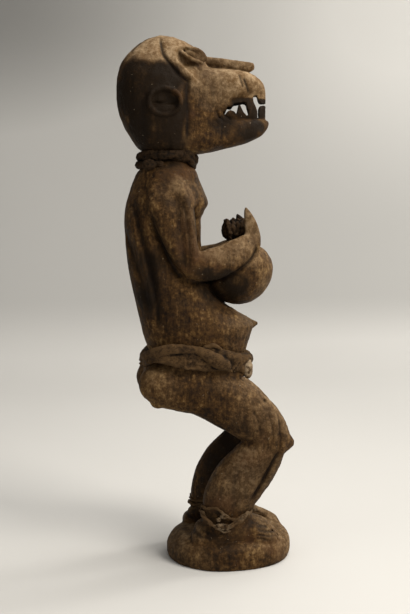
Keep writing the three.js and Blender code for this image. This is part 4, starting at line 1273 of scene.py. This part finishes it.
def wood_material():
    n = Nodes("old_wood")
    grain = n.noise(260, 6, 0.6, (1, 1, 0.12), 0.3)
    mottle = n.noise(80, 8, 0.66)
    grit = n.noise(230, 6, 0.7)
    blotch = n.noise(15, 4, 0.5)
    fine = n.noise(800, 3, 0.6)
    wear = n.noise(45, 6, 0.62, (1, 1, 0.6))
    pale, soot_and_shade = n.attribute("pale"), n.attribute("soot_and_shade")
    tone = n.weighted((grain, 0.18), (mottle, 0.28), (blotch, 0.24), (grit, 0.3))
    wood = n.ramp(tone, WOOD_TONES)
    red = n.span(n.noise(24, 3, 0.5), 0.55, 0.68, 0, 0.5)
    wood = n.mix(red, wood, RED_WOOD)
    # Worn wood and dust flecks, with painted highlight, where the pale mark is high
    wood = n.mix(n.times(pale, 0.7), wood, WORN_AND_LIT_WOOD)
    dust_and_highlight = n.times(pale, n.span(n.weighted((mottle, 0.55), (grit, 0.45)), 0.4, 0.68))
    wood = n.mix(n.times(dust_and_highlight, 0.85), wood, DUST_AND_HIGHLIGHT)
    # Stain with painted shade where the soot mark is high, and black soot with painted shade in ragged
    # patches
    wood = n.mix(n.span(soot_and_shade, 0.1, 0.75, 0, 0.8), wood, STAINED_AND_SHADED_WOOD)
    ragged = n.math("SUBTRACT", soot_and_shade, n.weighted((tone, 1.6), (wear, 1.6)))
    wood = n.mix(n.times(n.span(ragged, -1.3, -0.65), 0.95), wood, SOOT_AND_SHADE_BLACK)
    specks = n.span(n.noise(400, 2, 0.5), 0.725, 0.785, 0, 0.65)
    wood = n.mix(specks, wood, SPECK)
    pits = n.span(n.noise(300, 3, 0.6), 0.34, 0.27, 0, 0.85)
    wood = n.mix(pits, wood, DEEP_SHADE)
    # Painted shade in the carved lines
    wood = n.mix(n.times(n.attribute("line"), 0.9), wood, DEEP_SHADE)
    rough = n.math("ADD", n.span(mottle, 0.35, 0.65, 0.58, 0.78), n.times(dust_and_highlight, 0.14))
    relief = n.bumps(
        (grain, 0.35, 0.001), (mottle, 0.5, 0.002), (grit, 0.85, 0.0014), (fine, 0.3, 0.0004),
        (pits, -0.9, 0.001),
    )
    n.shader.inputs["Specular IOR Level"].default_value = 0.09
    return n.close(wood, rough, relief)


# The crust colour goes into the hollows as painted shade, and the raised parts are lighter
def fibre_material(name, dark, light, crust):
    n = Nodes(name)
    strands = n.noise(520, 5, 0.65, (1, 1, 2.2), 0.8)
    lumps = n.noise(150, 5, 0.6)
    patches = n.noise(40, 4, 0.55)
    hollow = n.attribute("hollow")
    tone = n.weighted((strands, 0.4), (lumps, 0.35), (patches, 0.25))
    color = n.mix(n.span(tone, 0.4, 0.62), dark, light)
    # Painted shade in the hollows, and a lighter colour on the raised parts
    color = n.mix(n.span(hollow, 0.5, 0.85, 0, 0.92), color, crust)
    color = n.mix(n.span(hollow, 0.42, 0.2, 0, 0.45), color, light)
    color = n.mix(n.times(n.attribute("pale"), n.span(lumps, 0.4, 0.55)), color, PALE_CLOTH)
    relief = n.bumps((strands, 0.8, 0.0012), (lumps, 0.6, 0.0018))
    n.shader.inputs["Specular IOR Level"].default_value = 0.1
    return n.close(color, n.span(lumps, 0.35, 0.65, 0.78, 0.95), relief)


figure = make_figure()
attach(figure, "root")
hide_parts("figure")
figure.data.materials.append(wood_material())
neck_rope = make_neck_cord()
waist_wrap = make_waist_cloth()
ankles = [make_ankle_cord(side) for side in SIDES]
bundle = make_bundle()
# Fibre materials: name, dark and light colour, colour of the painted shade in the hollows, and the pieces
# that wear it
for name, dark, light, crust, pieces in (
    ("neck_fibre", (0.008, 0.0044, 0.0018), (0.032, 0.0175, 0.0078), (0.005, 0.003, 0.002), [neck_rope]),
    ("waist_fabric", (0.02, 0.0108, 0.0045), (0.092, 0.053, 0.023), DEEP_SHADE, [waist_wrap]),
    ("ankle_fibre", (0.02, 0.0108, 0.004), (0.075, 0.043, 0.019), DEEP_SHADE, ankles),
    ("bundle_crust", (0.012, 0.0065, 0.003), (0.05, 0.029, 0.014), (0.004, 0.0025, 0.0015), [bundle]),
):
    material = fibre_material(name, dark, light, crust)
    for piece in pieces:
        piece.data.materials.append(material)

# Camera at the photograph's viewing angle
CAMERA_PLACE = (-0.1742, -1.1911, 0.460)
CAMERA_TARGET = (-0.028, 0.0, 0.320)
CAMERA_LENS = 56.36
SENSOR_WIDTH = 36
FIGURE_MIDDLE = (-0.02, 0, 0.33)


# An object in the scene at one place, turned to look at another
def aimed(name, data, place, target):
    made = bpy.data.objects.new(name, data)
    bpy.context.scene.collection.objects.link(made)
    made.location = place
    way = Vector(target) - made.location
    made.rotation_euler = way.to_track_quat("-Z", "Y").to_euler()
    return made


def area_light(name, place, size, power, color, target=FIGURE_MIDDLE):
    data = bpy.data.lights.new(name, "AREA")
    data.size = size
    data.energy = power
    data.color = color
    aimed(name, data, place, target)


camera_data = bpy.data.cameras.new("camera")
camera_data.lens = CAMERA_LENS
camera_data.sensor_width = SENSOR_WIDTH
bpy.context.scene.camera = aimed("camera", camera_data, CAMERA_PLACE, CAMERA_TARGET)
WARM = (1.0, 0.94, 0.85)
PALE_LIGHT = (1.0, 0.96, 0.9)
area_light("key", (1.15, -1.1, 1.4), 0.75, 36, WARM)
area_light("top", (0.35, 0.05, 2.1), 1.3, 32, PALE_LIGHT, (0.05, 0, 0))
area_light("backdrop_light", (2.6, 0.9, 1.8), 1.0, 60, (1.0, 0.96, 0.89), (1.2, 2.2, 1.3))
area_light("front", (0.3, -2.2, 1.1), 1.6, 8, WARM)
area_light("fill", (-1.7, -0.8, 0.9), 1.2, 5, PALE_LIGHT)

# The paper sweep, in metres: where its floor begins and its bend starts, the bend's radius, its height and
# half its width
FLOOR_FRONT = -3.0
BEND_START = 1.1
BEND_RADIUS = 1.1
BEND_STEPS = 16
WALL_TOP = 3.2
SWEEP_HALF_WIDTH = 3.4


# A pale paper sweep: level under the figure, curving up into a wall behind it, with painted shade that
# darkens the wall, most of all towards its top left, and the whole sweep a little, more to the right
def make_backdrop():
    profile = [(FLOOR_FRONT, 0.0), (BEND_START, 0.0)]
    for step in range(1, BEND_STEPS + 1):
        turn = math.pi / 2 * step / BEND_STEPS
        out, up = BEND_RADIUS * math.sin(turn), BEND_RADIUS - BEND_RADIUS * math.cos(turn)
        profile.append((BEND_START + out, up))
    profile.append((BEND_START + BEND_RADIUS, WALL_TOP))
    places = [(x, y, z) for y, z in profile for x in (-SWEEP_HALF_WIDTH, SWEEP_HALF_WIDTH)]
    faces = [(2 * i, 2 * i + 1, 2 * i + 3, 2 * i + 2) for i in range(len(profile) - 1)]
    mesh = bpy.data.meshes.new("backdrop")
    mesh.from_pydata(places, [], faces)
    mesh.shade_smooth()
    backdrop = bpy.data.objects.new("backdrop", mesh)
    bpy.context.scene.collection.objects.link(backdrop)
    n = Nodes("pale_paper")
    mottle = n.noise(2.2, 3, 0.5)
    color = n.mix(mottle, (0.54, 0.537, 0.525), (0.565, 0.562, 0.55))
    across, height = n.along_axis(0), n.along_axis(2)
    # Painted shade: the wall darker above its foot and towards its top left, and the whole sweep a little
    # darker to the right
    high = n.span(height, 0.3, 1.1)
    rightward = n.times(n.span(across, 0.1, 0.9, 0, 0.9), high)
    low_dark = n.times(n.span(height, 0.0, 0.16, 0, 0.42), n.math("SUBTRACT", 1.0, rightward))
    low_dark = n.times(low_dark, n.span(across, -0.6, 0.5, 0.78, 1))
    high_dark = n.times(n.span(across, 0.9, -0.5, 0, 0.8), high)
    dark = n.math("MAXIMUM", n.math("MAXIMUM", low_dark, high_dark), n.span(across, 0.05, 0.5, 0.03, 0.1))
    color = n.mix(dark, color, (0.11, 0.11, 0.107))
    relief = n.bumps((n.noise(90, 4, 0.6), 0.05, 0.001))
    mesh.materials.append(n.close(color, n.span(mottle, 0.3, 0.7, 0.85, 0.95), relief))


make_backdrop()
bpy.context.scene.view_settings.view_transform = "Standard"
world = bpy.data.worlds.new("studio")
bpy.context.scene.world = world
world.use_nodes = True
world.node_tree.nodes["Background"].inputs["Color"].default_value = (0.9, 0.87, 0.82, 1)
world.node_tree.nodes["Background"].inputs["Strength"].default_value = 0.2
